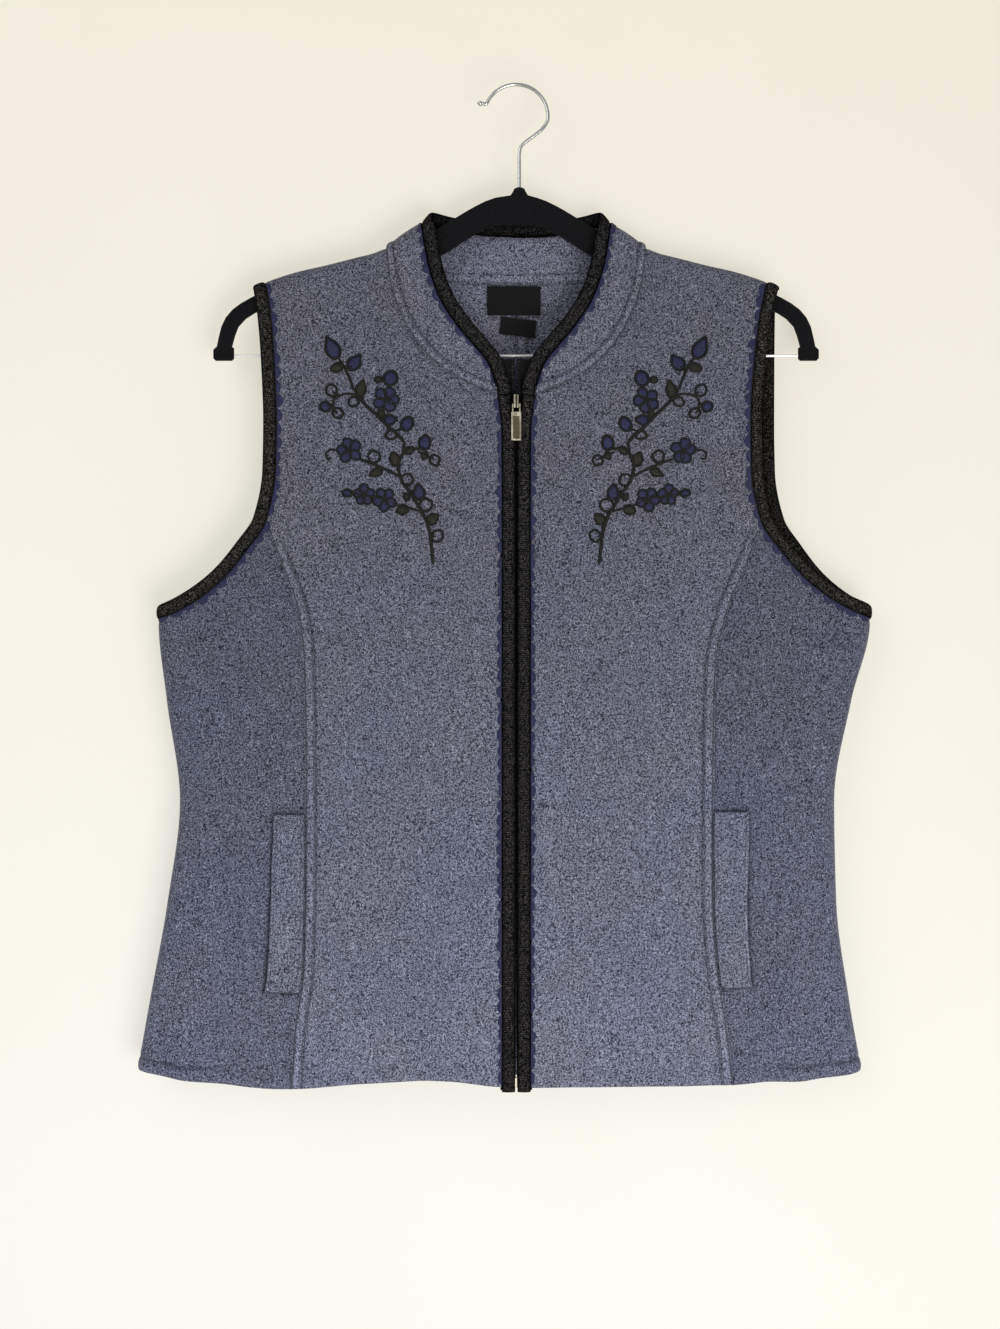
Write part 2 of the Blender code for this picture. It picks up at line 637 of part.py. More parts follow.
def neck_binding():
    """The strip past the collar's top edge, down to where the zip's straight edges start."""
    seam, edge, seam_normal = collar_lines()
    toward = edge - seam
    count = len(edge)
    low = np.minimum(np.arange(count), count - 1 - np.arange(count)) / (count - 1)
    blend = ease((low - 0.02) / 0.10)[:, None]
    inward = np.stack([-np.sign(edge[:, 0]), np.zeros(count), np.zeros(count)], axis=-1)
    toward = unit(unit(toward) * blend + inward * (1 - blend))
    ends = np.array([[COLLAR[0][0] * s, edge[0, 1], COLLAR[0][1]] for s in (-1, 1)])
    line = np.concatenate([ends[:1], edge, ends[1:]])
    toward = np.concatenate([toward[:1], toward, toward[-1:]])
    ahead = unit(np.gradient(line, axis=0))
    toward = unit(toward - ahead * np.sum(toward * ahead, axis=1, keepdims=True))
    centre = line + toward * (EDGE_GAP + BINDING_WIDTH / 2)
    return strip("neck_binding", centre, toward, BINDING_WIDTH, BINDING_THICK, "knit trim")


def front_binding(side, sign):
    top = COLLAR[0][1] - GAP
    height = np.concatenate([np.linspace(FRONT_EDGE[0][0], -0.300, 12), np.linspace(-0.280, top, 7)])
    inner = column(FRONT_EDGE, 1, height)
    outer = column(FRONT_EDGE, 2, height)
    flat = np.stack([sign * (inner + outer) / 2, height], axis=-1)
    centre = drape(flat, "front")
    across = np.tile([1.0, 0.0, 0.0], (len(height), 1))
    strip(f"front_binding_{side}", centre, across, outer - inner, BINDING_THICK, "knit trim")


def armhole_binding(side, sign):
    """A closed loop: down the front armhole edge, under the arm and up the back."""
    loop, away = [], []
    for face in ("front", "back"):
        flat = armhole_points(side, sign, face)
        slope = unit(np.gradient(flat, axis=0))
        slope[-1] = (sign, 0)
        side_way = np.stack([-slope[:, 1], slope[:, 0]], axis=-1) * sign
        if face == "back":
            flat, side_way = flat[::-1], side_way[::-1]
        middle = flat + side_way * (EDGE_GAP + BINDING_WIDTH / 2)
        here = drape(middle, face)
        loop.append(here[:-1])
        away.append((here - drape(flat, face))[:-1])
    centre, across = np.concatenate(loop), np.concatenate(away)
    strip(f"armhole_binding_{side}", centre, across, BINDING_WIDTH, BINDING_THICK, "knit trim", True)


def welt(side, sign):
    """A folded pocket strip lying on the side front, its free edge lifting a little."""
    top, bottom, wide_top, wide_bottom = WELTS[side]
    v = np.linspace(0, 1, 9)[:, None]
    u = np.array([0, 0.04, 0.5, 0.96, 1.0])[None, :]
    height = bottom + (top - bottom) * v
    start = column(PRINCESS_SEAM, 1 if sign < 0 else 2, height) + 0.0006
    across = start + u * (wide_bottom + (wide_top - wide_bottom) * v)
    flat = np.stack([sign * across, np.broadcast_to(height, across.shape)], axis=-1)
    middle, normal = drape(flat, "front"), drape_normal(flat, "front")
    lift = WELT_LIFT * np.broadcast_to(u**2, across.shape) * np.sin(pi * v) ** 0.5
    base = (CLOTH / 2 + GAP + lift)[..., None]
    ends = np.array([0.7] + [1] * 7 + [0.7])[:, None, None]
    thick = WELT_THICK * ends * np.array([0.7, 1, 1, 1, 0.6])[None, :, None]
    shell(f"welt_{side}", middle + normal * (base + thick), middle + normal * base, "wool")


def zip_tape(side, sign):
    """A tape behind the front binding, thicker at the edge that carries the teeth."""
    height = np.concatenate([np.linspace(CHAIN_EDGE[0][0], -0.300, 10), np.linspace(-0.270, -0.2050, 9)])
    edge = column(CHAIN_EDGE, 1, height)[:, None]
    steps = np.array([0, 0.0005, 0.0017, 0.0022, 0.0028])[None]
    thick = np.array([0.5, 1.0, 1.0, 0.5, 0.0])
    across = np.concatenate([edge + steps, np.full((len(height), 1), TAPE_HALF)], axis=1)
    half = np.append(TAPE_THICK / 2 + thick * (CHAIN_RADIUS - TAPE_THICK / 2), TAPE_THICK / 2)
    flat = np.stack([sign * across, np.broadcast_to(height[:, None], across.shape)], axis=-1)
    normal = drape_normal(flat, "front")
    middle = drape(flat, "front") - normal * (BINDING_THICK / 2 + GAP + CHAIN_RADIUS)
    half = half[None, :, None]
    shell(f"zip_tape_{side}", middle + normal * half, middle - normal * half, "zip tape")


def block(low, high, bevel=0.0):
    """A box object between two corners, as a helper for a union."""
    bpy.ops.mesh.primitive_cube_add(size=1)
    thing = bpy.context.object
    low, high = np.array(low), np.array(high)
    thing.location = (low + high) / 2
    thing.scale = high - low
    bpy.ops.object.transform_apply(location=True, scale=True)
    if bevel:
        edges = thing.modifiers.new("edges", "BEVEL")
        edges.width = bevel
        edges.segments = 2
        bpy.ops.object.modifier_apply(modifier=edges.name)
    return thing


def combine(name, base, others, look, operation="UNION"):
    """Joins or cuts a base with helper objects, which are then removed."""
    for other in others:
        bpy.context.view_layer.objects.active = base
        change = base.modifiers.new("join", "BOOLEAN")
        change.operation = operation
        change.object = other
        bpy.ops.object.modifier_apply(modifier=change.name)
        bpy.data.objects.remove(other, do_unlink=True)
    base.name = name
    base.data.materials.clear()
    base.data.materials.append(finish(look))
    for owner in list(base.users_collection):
        owner.objects.unlink(base)
    collection("Embroidered vest").objects.link(base)
    return base


# The slider and its pull are laid out by height and by distance forward of the cloth's
# mid wall at the hinge: the binding's face is at 2.8 mm and the tape's bead behind it.
HINGE_HEIGHT, HINGE_FORWARD = -0.2399, 0.0029
CROWN = (-0.2418, -0.2322, 0.0048, 0.00175)  # bottom, top, forward reach, half width
SLIDER_PLATE = (-0.2420, -0.2318)  # bottom, top
PLATE_BACK = 0.0037
TAB = (-0.2656, -0.2449, 0.0036)  # bottom, top, half width


def zip_face():
    """Depth of the cloth's mid wall at the zip's hinge."""
    return drape(np.array([0.0, HINGE_HEIGHT]), "front")[1]


def zip_slider():
    face = zip_face()
    bottom, top, reach, half = CROWN
    low, high = SLIDER_PLATE
    front = block((-0.0033, face + 0.0017, low), (0.0033, face + 0.0028, high), 0.0003)
    rear = block((-0.0033, face + 0.0056, low), (0.0033, face + 0.0066, high), 0.0003)
    post = block((-0.0009, face + 0.0022, -0.2365), (0.0009, face + 0.0060, -0.2326))
    crown = block((-half, face - reach, bottom), (half, face + 0.0022, top), 0.0004)
    inside = face - reach + 0.0010
    window = block((-0.004, inside, bottom + 0.0010), (0.004, face + 0.0017, top - 0.0010))
    crown = combine("crown", crown, [window], "antique brass", "DIFFERENCE")
    combine("zip_slider", front, [rear, post, crown], "antique brass")


def zip_pull():
    """The tab with a recessed face, two arms and the pin that hangs in the slider's crown."""
    face = zip_face()
    axis = face - HINGE_FORWARD
    bottom, top, half = TAB
    back = face - PLATE_BACK
    plate = block((-half, back - 0.0015, bottom), (half, back, top), 0.0003)
    rim = 0.0012
    recess = block((-half + rim, face - 0.006, bottom + rim), (half - rim, face - 0.0048, top - 0.0030))
    plate = combine("plate", plate, [recess], "antique brass", "DIFFERENCE")
    front, pin_top = face - 0.0050, HINGE_HEIGHT + 0.0008
    arms = []
    for s in (-1, 1):
        near, far = sorted((s * 0.0021, s * 0.0030))
        arms.append(block((near, front, -0.2435), (far, axis + 0.0006, pin_top)))
        arms.append(block((near, front, -0.2455), (far, back - 0.0002, -0.2430)))
    place = dict(location=(0, axis, HINGE_HEIGHT), rotation=(0, pi / 2, 0))
    bpy.ops.mesh.primitive_cylinder_add(vertices=12, radius=0.0006, depth=0.0054, **place)
    pin = bpy.context.object
    bpy.ops.object.transform_apply(location=True, rotation=True)
    pull = combine("zip_pull", plate, [*arms, pin], "antique brass")
    bpy.context.view_layer.update()
    pivot = np.array([0.0, axis, HINGE_HEIGHT])
    pull.data.transform(Matrix.Translation(-pivot))
    pull.location = pivot


def zip_retainer():
    bottom, top = CHAIN_EDGE[0][0] - 0.0078, CHAIN_EDGE[0][0] - GAP
    face = drape(np.array([0.0, bottom]), "front")[1]
    box = block((-0.0034, face + 0.0031, bottom), (0.0034, face + 0.0055, top), 0.0004)
    combine("zip_retainer", box, [], "antique brass")


def label(name, centre, width, height, turn, depth):
    """A flat woven label lying on the inside of the back."""
    u, v = np.meshgrid(np.linspace(-0.5, 0.5, 5), np.linspace(-0.5, 0.5, 4))
    across = centre[0] + u * width * cos(turn) - v * height * sin(turn)
    up = centre[1] + u * width * sin(turn) + v * height * cos(turn)
    flat = np.stack([across, up], axis=-1)
    normal = drape_normal(flat, "back")
    inner = drape(flat, "back") - normal * (CLOTH / 2 + GAP + depth)
    shell(name, inner - normal * 0.0008, inner, "label")


# ---- The hanger ----
def hanger_outline(sign):
    """Half of the hanger's outline, from the dome's top down, out along the arm and back."""
    top_half, base_half, dome_top = HANGER_DOME
    dome = []
    for k in range(5):
        angle = pi / 2 * (1 - k / 4)
        dome.append((STEM_AT + sign * top_half * cos(angle), dome_top - 0.0030 * (1 - sin(angle))))
    dome.append((STEM_AT + sign * base_half, HANGER[0][1]))
    upper = path([row[:2] for row in HANGER] + list(HANGER_TIP_TOP), np.linspace(0, 1, 34))
    lower = path([row[::2] for row in HANGER] + list(HANGER_TIP_BOTTOM), np.linspace(0, 1, 30))
    inner, outer, cap_top, cap_bottom = HANGER_CAP
    cap = [
        (outer - 0.0015, cap_top),
        (outer, cap_top - 0.0015),
        (outer, cap_bottom + 0.0015),
        (outer - 0.0015, cap_bottom),
        (inner + 0.0015, cap_bottom),
        (inner, cap_bottom + 0.0015),
        (inner, cap_top),
    ]
    arm = np.concatenate([upper[1:], cap, lower[::-1]])
    return dome + [(sign * x, z) for x, z in arm]


def hanger_body():
    outline = hanger_outline(1) + [(0.0, HANGER[0][2])] + hanger_outline(-1)[:0:-1]
    curve = bpy.data.curves.new("hanger_outline", "CURVE")
    curve.dimensions = "2D"
    curve.fill_mode = "BOTH"
    curve.extrude = HANGER_THICK / 2 - HANGER_ROUND
    curve.bevel_depth = HANGER_ROUND
    curve.bevel_resolution = 1
    curve.offset = -HANGER_ROUND
    spline = curve.splines.new("POLY")
    spline.points.add(len(outline) - 1)
    for point, (x, z) in zip(spline.points, outline):
        point.co = (x, z, 0, 1)
    spline.use_cyclic_u = True
    drawn = bpy.data.objects.new("hanger_drawn", curve)
    bpy.context.scene.collection.objects.link(drawn)
    drawn.rotation_euler = (pi / 2, 0, 0)
    bpy.context.view_layer.update()
    mesh = bpy.data.meshes.new_from_object(drawn.evaluated_get(bpy.context.evaluated_depsgraph_get()))
    shape = bmesh.new()
    shape.from_mesh(mesh)
    bmesh.ops.remove_doubles(shape, verts=shape.verts, dist=1e-6)
    shape.to_mesh(mesh)
    shape.free()
    body = bpy.data.objects.new("hanger_body", mesh)
    body.matrix_world = drawn.matrix_world
    bpy.context.scene.collection.objects.link(body)
    bpy.data.objects.remove(drawn, do_unlink=True)
    bpy.ops.mesh.primitive_cylinder_add(
        vertices=16,
        radius=WIRE + STEM_CLEAR,
        depth=2 * STEM_DEPTH,
        location=(STEM_AT, 0, HANGER_DOME[2]),
    )
    socket = bpy.context.object
    combine("hanger_body", body, [socket], "flock", "DIFFERENCE")


def hanger_hook():
    """A wire hook: a vertical stem, a bend round the nail and a turned-out ball end."""
    centre = -HOOK_RADIUS - WIRE
    points = [(STEM_AT, HANGER_DOME[2] - STEM_DEPTH + STEM_CLEAR), *HOOK_NECK]
    first, last = HOOK_ARC
    for k in range(22):
        angle = radians(first + k * (last - first) / 21)
        points.append((HOOK_RADIUS * cos(angle), centre + HOOK_RADIUS * sin(angle)))
    end = points[-1]
    points += [(end[0] - 0.0016, end[1] - 0.0022), (end[0] - 0.0042, end[1] - 0.0020)]
    radii = [WIRE] * len(points)
    ball = 0.0021
    last = points[-1]
    for share, size in ((0.5, 0.95), (1.0, 1.0), (1.6, 0.85), (1.95, 0.35)):
        points.append((last[0] - ball * share, last[1] + ball * share * 0.25))
        radii.append(ball * size)
    curve = bpy.data.curves.new("hanger_hook", "CURVE")
    curve.dimensions = "3D"
    curve.bevel_depth = 1.0
    curve.bevel_resolution = 2
    curve.use_fill_caps = True
    spline = curve.splines.new("POLY")
    spline.points.add(len(points) - 1)
    for point, (x, z), radius in zip(spline.points, points, radii):
        point.co = (x, 0, z, 1)
        point.radius = radius
    hook = bpy.data.objects.new("hanger_hook", curve)
    curve.materials.append(finish("chrome"))
    collection("Embroidered vest").objects.link(hook)


def hanger_bar():
    length = 2 * (HANGER_CAP[0] - GAP)
    bpy.ops.mesh.primitive_cylinder_add(
        vertices=12, radius=BAR_RADIUS, depth=length, location=(0, 0, BAR_HEIGHT), rotation=(0, pi / 2, 0)
    )
    combine("hanger_bar", bpy.context.object, [], "chrome")


def build():
    clear_scene()
    for side, sign in SIDES:
        centre_front(side, sign)
        side_front(side, sign)
        back(side, sign)
        front_binding(side, sign)
        armhole_binding(side, sign)
        welt(side, sign)
        zip_tape(side, sign)
    collar_band()
    neck_binding()
    zip_slider()
    zip_pull()
    zip_retainer()
    label("neck_label", (-0.0015, -0.1576), 0.0397, 0.0213, 0.0, 0.0019)
    label("care_label", (0.0015, -0.1772), 0.0265, 0.0130, radians(-6), 0.0010)
    hanger_body()
    hanger_hook()
    hanger_bar()


build()
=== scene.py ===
# %% [markdown]
# # An embroidered wool vest on its hanger
#
# The CAD part already holds every cut piece of the vest at its real size. This script
# dresses it: each wool panel becomes a finely drawn cloth with creases and a felted
# surface, and the stitches, embroidery, zip teeth and fuzz are added on top.
# Everything is in metres, +Z is up, and the vest's front faces -Y. Right and left are
# the wearer's: right is -X and left is +X.

from math import pi

import bpy
import numpy as np
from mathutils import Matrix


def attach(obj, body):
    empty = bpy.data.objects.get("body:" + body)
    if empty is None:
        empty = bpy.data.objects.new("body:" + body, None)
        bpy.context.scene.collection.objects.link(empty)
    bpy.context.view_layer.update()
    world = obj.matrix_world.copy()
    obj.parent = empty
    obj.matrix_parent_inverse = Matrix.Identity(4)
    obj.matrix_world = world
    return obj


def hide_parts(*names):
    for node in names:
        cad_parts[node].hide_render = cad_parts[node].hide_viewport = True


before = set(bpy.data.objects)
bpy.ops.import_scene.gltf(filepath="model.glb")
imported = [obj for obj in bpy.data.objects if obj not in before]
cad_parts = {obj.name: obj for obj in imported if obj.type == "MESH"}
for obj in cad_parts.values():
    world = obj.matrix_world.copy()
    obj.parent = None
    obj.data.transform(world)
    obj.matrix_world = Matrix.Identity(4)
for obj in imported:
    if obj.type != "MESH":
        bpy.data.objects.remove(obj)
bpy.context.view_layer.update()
SIDES = (("right", -1), ("left", 1))
random = np.random.default_rng(7)
print("CAD pieces:", len(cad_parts))

# %% [markdown]
# ## Camera
#
# The camera stands straight in front, at chest height and 1.5 m away, which is close
# enough for the cloth that comes forward to look a little larger than the hanger.
# A lens is easiest to choose from the size of the view at the vest's own distance.

# %% Camera
CAMERA_AT = (-0.0118, -1.5, -0.4280)
VIEW_HEIGHT = 0.9775  # of what the camera sees at the hanger

camera = bpy.data.objects.new("camera", bpy.data.cameras.new("camera"))
bpy.context.scene.collection.objects.link(camera)
camera.location = CAMERA_AT
camera.rotation_euler = (pi / 2, 0, 0)
camera.data.lens = camera.data.sensor_width / 2 / (VIEW_HEIGHT / 2 / -CAMERA_AT[1])
bpy.context.scene.camera = camera

# %% [markdown]
# ## The garment's measurements
#
# The cloth is measured flat, the way a cutter draws it: a distance across from the
# centre and a height. The tables repeat the CAD part's own, because the fine cloth has
# to lie exactly on its solid.

# %% Driving sizes
CLOTH = 0.0024  # thickness of the boiled wool
GAP = 0.0003  # between neighbouring pieces
EDGE_GAP = 0.0006  # between a binding and the cloth edge it finishes
SIDE_FOLD = 0.0090  # radius of the fold at the side seam
SHOULDER_FOLD = 0.0062  # radius of the fold over the hanger's arm
SHOULDER_FALL = {"front": 0.115, "back": 0.070}  # depth grows to full over this drop
BINDING_WIDTH, BINDING_THICK = 0.0098, 0.0056
BINDING_NARROWER = {("front", "left"): 0.0013}  # round the armhole on this face and side
RIDGE_WIDTH, RIDGE_HEIGHT = 0.0076, 0.0015  # topstitched seam allowance
COLLAR_SEAM_WIDTH = 0.0066
WELT_THICK, WELT_LIFT = 0.0034, 0.0014
WELT_OUT = 0.0006  # from the princess seam to the welt's sewn edge
PRINCESS_TOP = (0.1825, -0.3245)  # where the princess seam meets the armhole

# %% Tables of the garment's lines
HALF_WIDTHS = (  # height, right half, left half
    (-0.725, 0.278, 0.2537),
    (-0.675, 0.2692, 0.2449),
    (-0.6014, 0.256, 0.2354),
    (-0.5279, 0.2471, 0.2339),
    (-0.4543, 0.2567, 0.2464),
    (-0.396, 0.2628, 0.2602),
    (-0.3, 0.2628, 0.2602),
)
SHOULDER_LINE = (  # distance from the centre, height
    (0.0, -0.112), (0.06, -0.112), (0.08, -0.1172), (0.094, -0.1226), (0.105, -0.127),
    (0.117, -0.13), (0.139, -0.1356), (0.161, -0.1407), (0.183, -0.148), (0.194, -0.153),
    (0.215, -0.164),
)
ARMHOLE = (  # distance from the centre, height; starts on the shoulder line
    (0.1835, -0.1452), (0.1793, -0.17), (0.1762, -0.207), (0.1744, -0.251), (0.175, -0.286),
    PRINCESS_TOP, (0.1955, -0.344), (0.215, -0.367), (0.235, -0.3825), (0.254, -0.3925),
    (0.267, -0.396),
)
PRINCESS_KNOT = 5  # the armhole row where the princess seam starts
ARMHOLE_OUT = {  # each edge's own distance outside the table's, away from its two ends
    "front": {"right": 0.0, "left": -0.0040},
    "back": {"right": 0.0, "left": 0.0065},
}
PRINCESS_SEAM = (  # height, right distance, left distance
    (-0.736, 0.164, 0.1582),
    (-0.695, 0.1615, 0.1538),
    (-0.652, 0.1556, 0.1473),
    (-0.6, 0.154, 0.1438),
    (-0.55, 0.1537, 0.1436),
    (-0.478, 0.1538, 0.1442),
    (-0.428, 0.155, 0.146),
    (-0.388, 0.1597, 0.1545),
    (-0.374, 0.164, 0.1598),
    (-0.35, 0.1733, 0.1704),
    (PRINCESS_TOP[1], PRINCESS_TOP[0], PRINCESS_TOP[0] + ARMHOLE_OUT["front"]["left"]),
)
HEMS = {  # across, height
    "front": (
        (-0.283, -0.724), (-0.23, -0.733), (-0.1715, -0.7375), (-0.1133, -0.733),
        (-0.049, -0.7293), (-0.012, -0.734), (0.012, -0.7345), (0.148, -0.7345), (0.193, -0.7325),
        (0.239, -0.7285), (0.259, -0.724),
    ),
    "back": (
        (-0.283, -0.724), (-0.18, -0.7325), (0.0, -0.7335), (0.16, -0.732), (0.259, -0.724),
    ),
}
BULGES = {  # height, how far the middle stands out past the side folds
    "front": ((-0.74, 0.0135), (-0.55, 0.0115), (-0.4, 0.0115), (-0.25, 0.009), (-0.12, 0.008)),
    "back": ((-0.74, 0.01), (-0.55, 0.0085), (-0.4, 0.0085), (-0.25, 0.0095), (-0.12, 0.011)),
}
FOLDS = {  # across, half width, depth, height where it starts, height where it is full
    "front": (
        (-0.045, 0.021, 0.0042, -0.54, -0.7),
        (0.207, 0.013, 0.0036, -0.54, -0.66),
        (0.18, 0.012, -0.0022, -0.5, -0.6),
        (-0.213, 0.014, -0.0026, -0.48, -0.58),
        (-0.243, 0.014, 0.0028, -0.56, -0.7),
    ),
    "back": (
        (-0.085, 0.03, 0.0036, -0.42, -0.68),
        (-0.165, 0.026, -0.0026, -0.48, -0.66),
        (0.11, 0.027, 0.004, -0.38, -0.64),
        (0.19, 0.02, -0.0024, -0.5, -0.68),
    ),
}
COLLAR = (  # seam: distance, height; neck edge: distance, forward of the hanger, height
    (0.0139, -0.2319, 0.0144, 0.0189, -0.2262),
    (0.0263, -0.2278, 0.0203, 0.0193, -0.21),
    (0.0475, -0.2174, 0.0313, 0.019, -0.196),
    (0.0664, -0.2017, 0.0452, 0.0178, -0.179),
    (0.0827, -0.1771, 0.0573, 0.0153, -0.1582),
    (0.0931, -0.1465, 0.0652, 0.0105, -0.1325),
    (0.0949, -0.13, 0.069, 0.0066, -0.109),
    (0.0955, -0.1201, 0.0695, 0.0, -0.1045),
    (0.0885, -0.133, 0.065, -0.0085, -0.1035),
    (0.076, -0.14, 0.053, -0.014, -0.1055),
    (0.053, -0.144, 0.035, -0.0172, -0.1083),
    (0.027, -0.1455, 0.0175, -0.0186, -0.1098),
    (0.0, -0.146, 0.0, -0.019, -0.1103),
)
COLLAR_TOP = 7  # the row on the shoulder line
FRONT_EDGE = (  # height, inner and outer edge of the binding beside the zip
    (-0.7375, 0.0008, 0.0104),
    (-0.29, 0.0008, 0.0104),
    (-0.259, 0.0014, 0.0106),
    (-0.24, 0.0038, 0.0126),
    (-0.2325, 0.0042, 0.0136),
)
WELTS = {  # top height, bottom height, top width, bottom width
    "right": (-0.5375, -0.6665, 0.022, 0.025),
    "left": (-0.5355, -0.663, 0.0248, 0.0215),
}
CHAIN_EDGE = (  # height, distance of the zip's bead from the centre
    (-0.7275, 0.0004), (-0.245, 0.0004), (-0.239, 0.0013), (-0.205, 0.0013),
)
print("vest from", SHOULDER_LINE[0][1], "down to", HEMS["front"][2][1])

# %% [markdown]
# ## Smooth lines through a few points
#
# A table row every few centimetres is enough for a garment, if the line between is
# smooth. A cubic Hermite curve does that, and limiting its slopes to the harmonic mean
# of the neighbouring ones keeps it from swinging past a row.

# %% Curve tools
def smooth(knots, values, at):
    """Cubic Hermite curve: each span blends its two ends and its two end slopes."""
    knots, values = np.asarray(knots, float), np.asarray(values, float)
    steps, rises = np.diff(knots), np.diff(values) / np.diff(knots)
    before, after = rises[:-1], rises[1:]
    near, far = 2 * steps[1:] + steps[:-1], steps[1:] + 2 * steps[:-1]
    same = before * after > 0
    safe_before, safe_after = np.where(same, before, 1), np.where(same, after, 1)
    middle = np.where(same, (near + far) / (near / safe_before + far / safe_after), 0)
    slopes = np.concatenate([rises[:1], middle, rises[-1:]])
    at = np.clip(at, knots[0], knots[-1])
    low = np.clip(np.searchsorted(knots, at) - 1, 0, len(knots) - 2)
    step = knots[low + 1] - knots[low]
    t = (at - knots[low]) / step
    return (
        values[low] * (1 + 2 * t) * (1 - t) ** 2
        + values[low + 1] * t * t * (3 - 2 * t)
        + step * slopes[low] * t * (1 - t) ** 2
        - step * slopes[low + 1] * t * t * (1 - t)
    )


def column(rows, key, at):
    """One column of a table, read at any value of its first column."""
    return smooth([row[0] for row in rows], [row[key] for row in rows], at)


def distances(points):
    """How far along a line each of its points lies: the running sum of its steps."""
    return np.concatenate([[0], np.cumsum(np.linalg.norm(np.diff(points, axis=0), axis=1))])


def path(points, at):
    """A smooth line through points; at runs from 0 to 1 along its length."""
    points = np.asarray(points, float)
    share = distances(points) / distances(points)[-1]
    return np.stack([smooth(share, points[:, k], at) for k in range(points.shape[1])], axis=-1)


def read(line, at, length=None):
    """Points of a dense line at the given distances along it."""
    run = distances(line) if length is None else length
    return np.stack([np.interp(at, run, line[..., k]) for k in range(line.shape[-1])], axis=-1)


def unit(vectors):
    """Each vector divided by its own length."""
    return vectors / np.maximum(np.linalg.norm(vectors, axis=-1, keepdims=True), 1e-12)


def ease(t):
    """A soft step from 0 to 1: three t squared less two t cubed."""
    t = np.clip(t, 0, 1)
    return t * t * (3 - 2 * t)


def tangents(line, closed=False):
    """Direction of a line at each of its points, from the points on either side."""
    if closed:
        return np.roll(line, -1, axis=0) - np.roll(line, 1, axis=0)
    return np.gradient(line, axis=0)


def square_to(ahead, vectors):
    """Unit vectors, with the part that lies along ahead taken away."""
    return unit(vectors - ahead * np.sum(vectors * ahead, axis=1, keepdims=True))


def bell(away, half):
    """A soft hump, 1 in its middle: e to the power of minus the square of away over half."""
    return np.exp(-((away / half) ** 2))


def flat_points(across, height):
    """Points of the flat pattern, from their distances across and their heights."""
    return np.stack(np.broadcast_arrays(across, height), axis=-1)


# %% [markdown]
# ## How the cloth lies
#
# A flat point is laid on the vest in three moves. Near the side seam it rolls round a
# small arc, so the front runs into the back with a soft fold. Near the shoulder line
# it rolls over the hanger's arm the same way. In between it stands out a little, with
# soft vertical folds that grow towards the hem. A cloth simulation could do this too,
# but a formula gives the same vest every time, and every stitch can use it.

# %% Drape
def half_width(height, sign):
    return column(HALF_WIDTHS, 1 if sign < 0 else 2, height) - CLOTH / 2


def side_reach(height, sign):
    """Distance to the side seam along the cloth: the fold's arc is longer than its chord."""
    return half_width(height, sign) + (pi / 2 - 1) * SIDE_FOLD


def crest(across):
    """Height of the shoulder line along the cloth, over its fold."""
    return column(SHOULDER_LINE, 1, np.abs(across)) + (pi / 2 - 1) * SHOULDER_FOLD


def hem_height(face, across):
    return column(HEMS[face], 1, across)


def seam_across(height, sign):
    """Distance of the princess seam from the centre."""
    return column(PRINCESS_SEAM, 1 if sign < 0 else 2, height)


def welt_across(side, sign, height, share):
    """Distance from the centre at a share of the welt's width, and the width there."""
    top, bottom, wide_top, wide_bottom = WELTS[side]
    wide = wide_bottom + (wide_top - wide_bottom) * (height - bottom) / (top - bottom)
    return seam_across(height, sign) + WELT_OUT + share * wide, wide


def front_edge(sign, height, gap):
    """The wool's front edge, a gap outside the binding beside the zip."""
    return flat_points(sign * (column(FRONT_EDGE, 2, height) + gap), height)


def fold_depth(face, x, height):
    """Soft vertical folds: a bell across, eased in downwards from where each starts."""
    depth = np.zeros(np.broadcast(x, height).shape)
    for across, half, deep, start, full in FOLDS[face]:
        grow = ease((start - height) / (start - full))
        depth = depth + deep * grow * bell(x - across, half)
    return depth


def hang(flat, face):
    """The plain form: arcs of a circle at the side and shoulder folds, a cosine bulge between."""
    across, up = flat[..., 0], flat[..., 1]
    sign = np.where(across < 0, -1.0, 1.0)
    wide = np.where(across < 0, half_width(up, -1), half_width(up, 1))
    left_over = wide + (pi / 2 - 1) * SIDE_FOLD - np.abs(across)
    turn = np.clip(left_over / SIDE_FOLD, -pi / 2, pi / 2)
    flat_run = np.maximum(left_over - SIDE_FOLD * pi / 2, 0)
    x = sign * (wide - SIDE_FOLD * (1 - np.cos(turn)) - flat_run)
    below = crest(x) - up
    tip = np.clip(below / SHOULDER_FOLD, -pi / 2, pi / 2)
    drop = np.maximum(below - SHOULDER_FOLD * pi / 2, 0)
    z = column(SHOULDER_LINE, 1, np.abs(x)) - SHOULDER_FOLD * (1 - np.cos(tip)) - drop
    middle = np.cos(pi / 2 * np.clip(np.abs(x) / wide, 0, 1)) ** 2
    swell = SIDE_FOLD + column(BULGES[face], 1, up) * middle + fold_depth(face, x, up)
    full = swell * np.sin(turn)
    share = ease(below / SHOULDER_FALL[face])
    depth = np.sin(tip) * (SHOULDER_FOLD + share * (full - SHOULDER_FOLD))
    return np.stack([x, depth * (-1 if face == "front" else 1), z], axis=-1)


def across_surface(surface, flat, face):
    """Outward normal of a surface: the cross product of two short steps over it."""
    step = 2e-4
    right = surface(flat + (step, 0), face) - surface(flat - (step, 0), face)
    rise = surface(flat + (0, step), face) - surface(flat - (0, step), face)
    return unit(np.cross(right, rise) * (1 if face == "front" else -1))
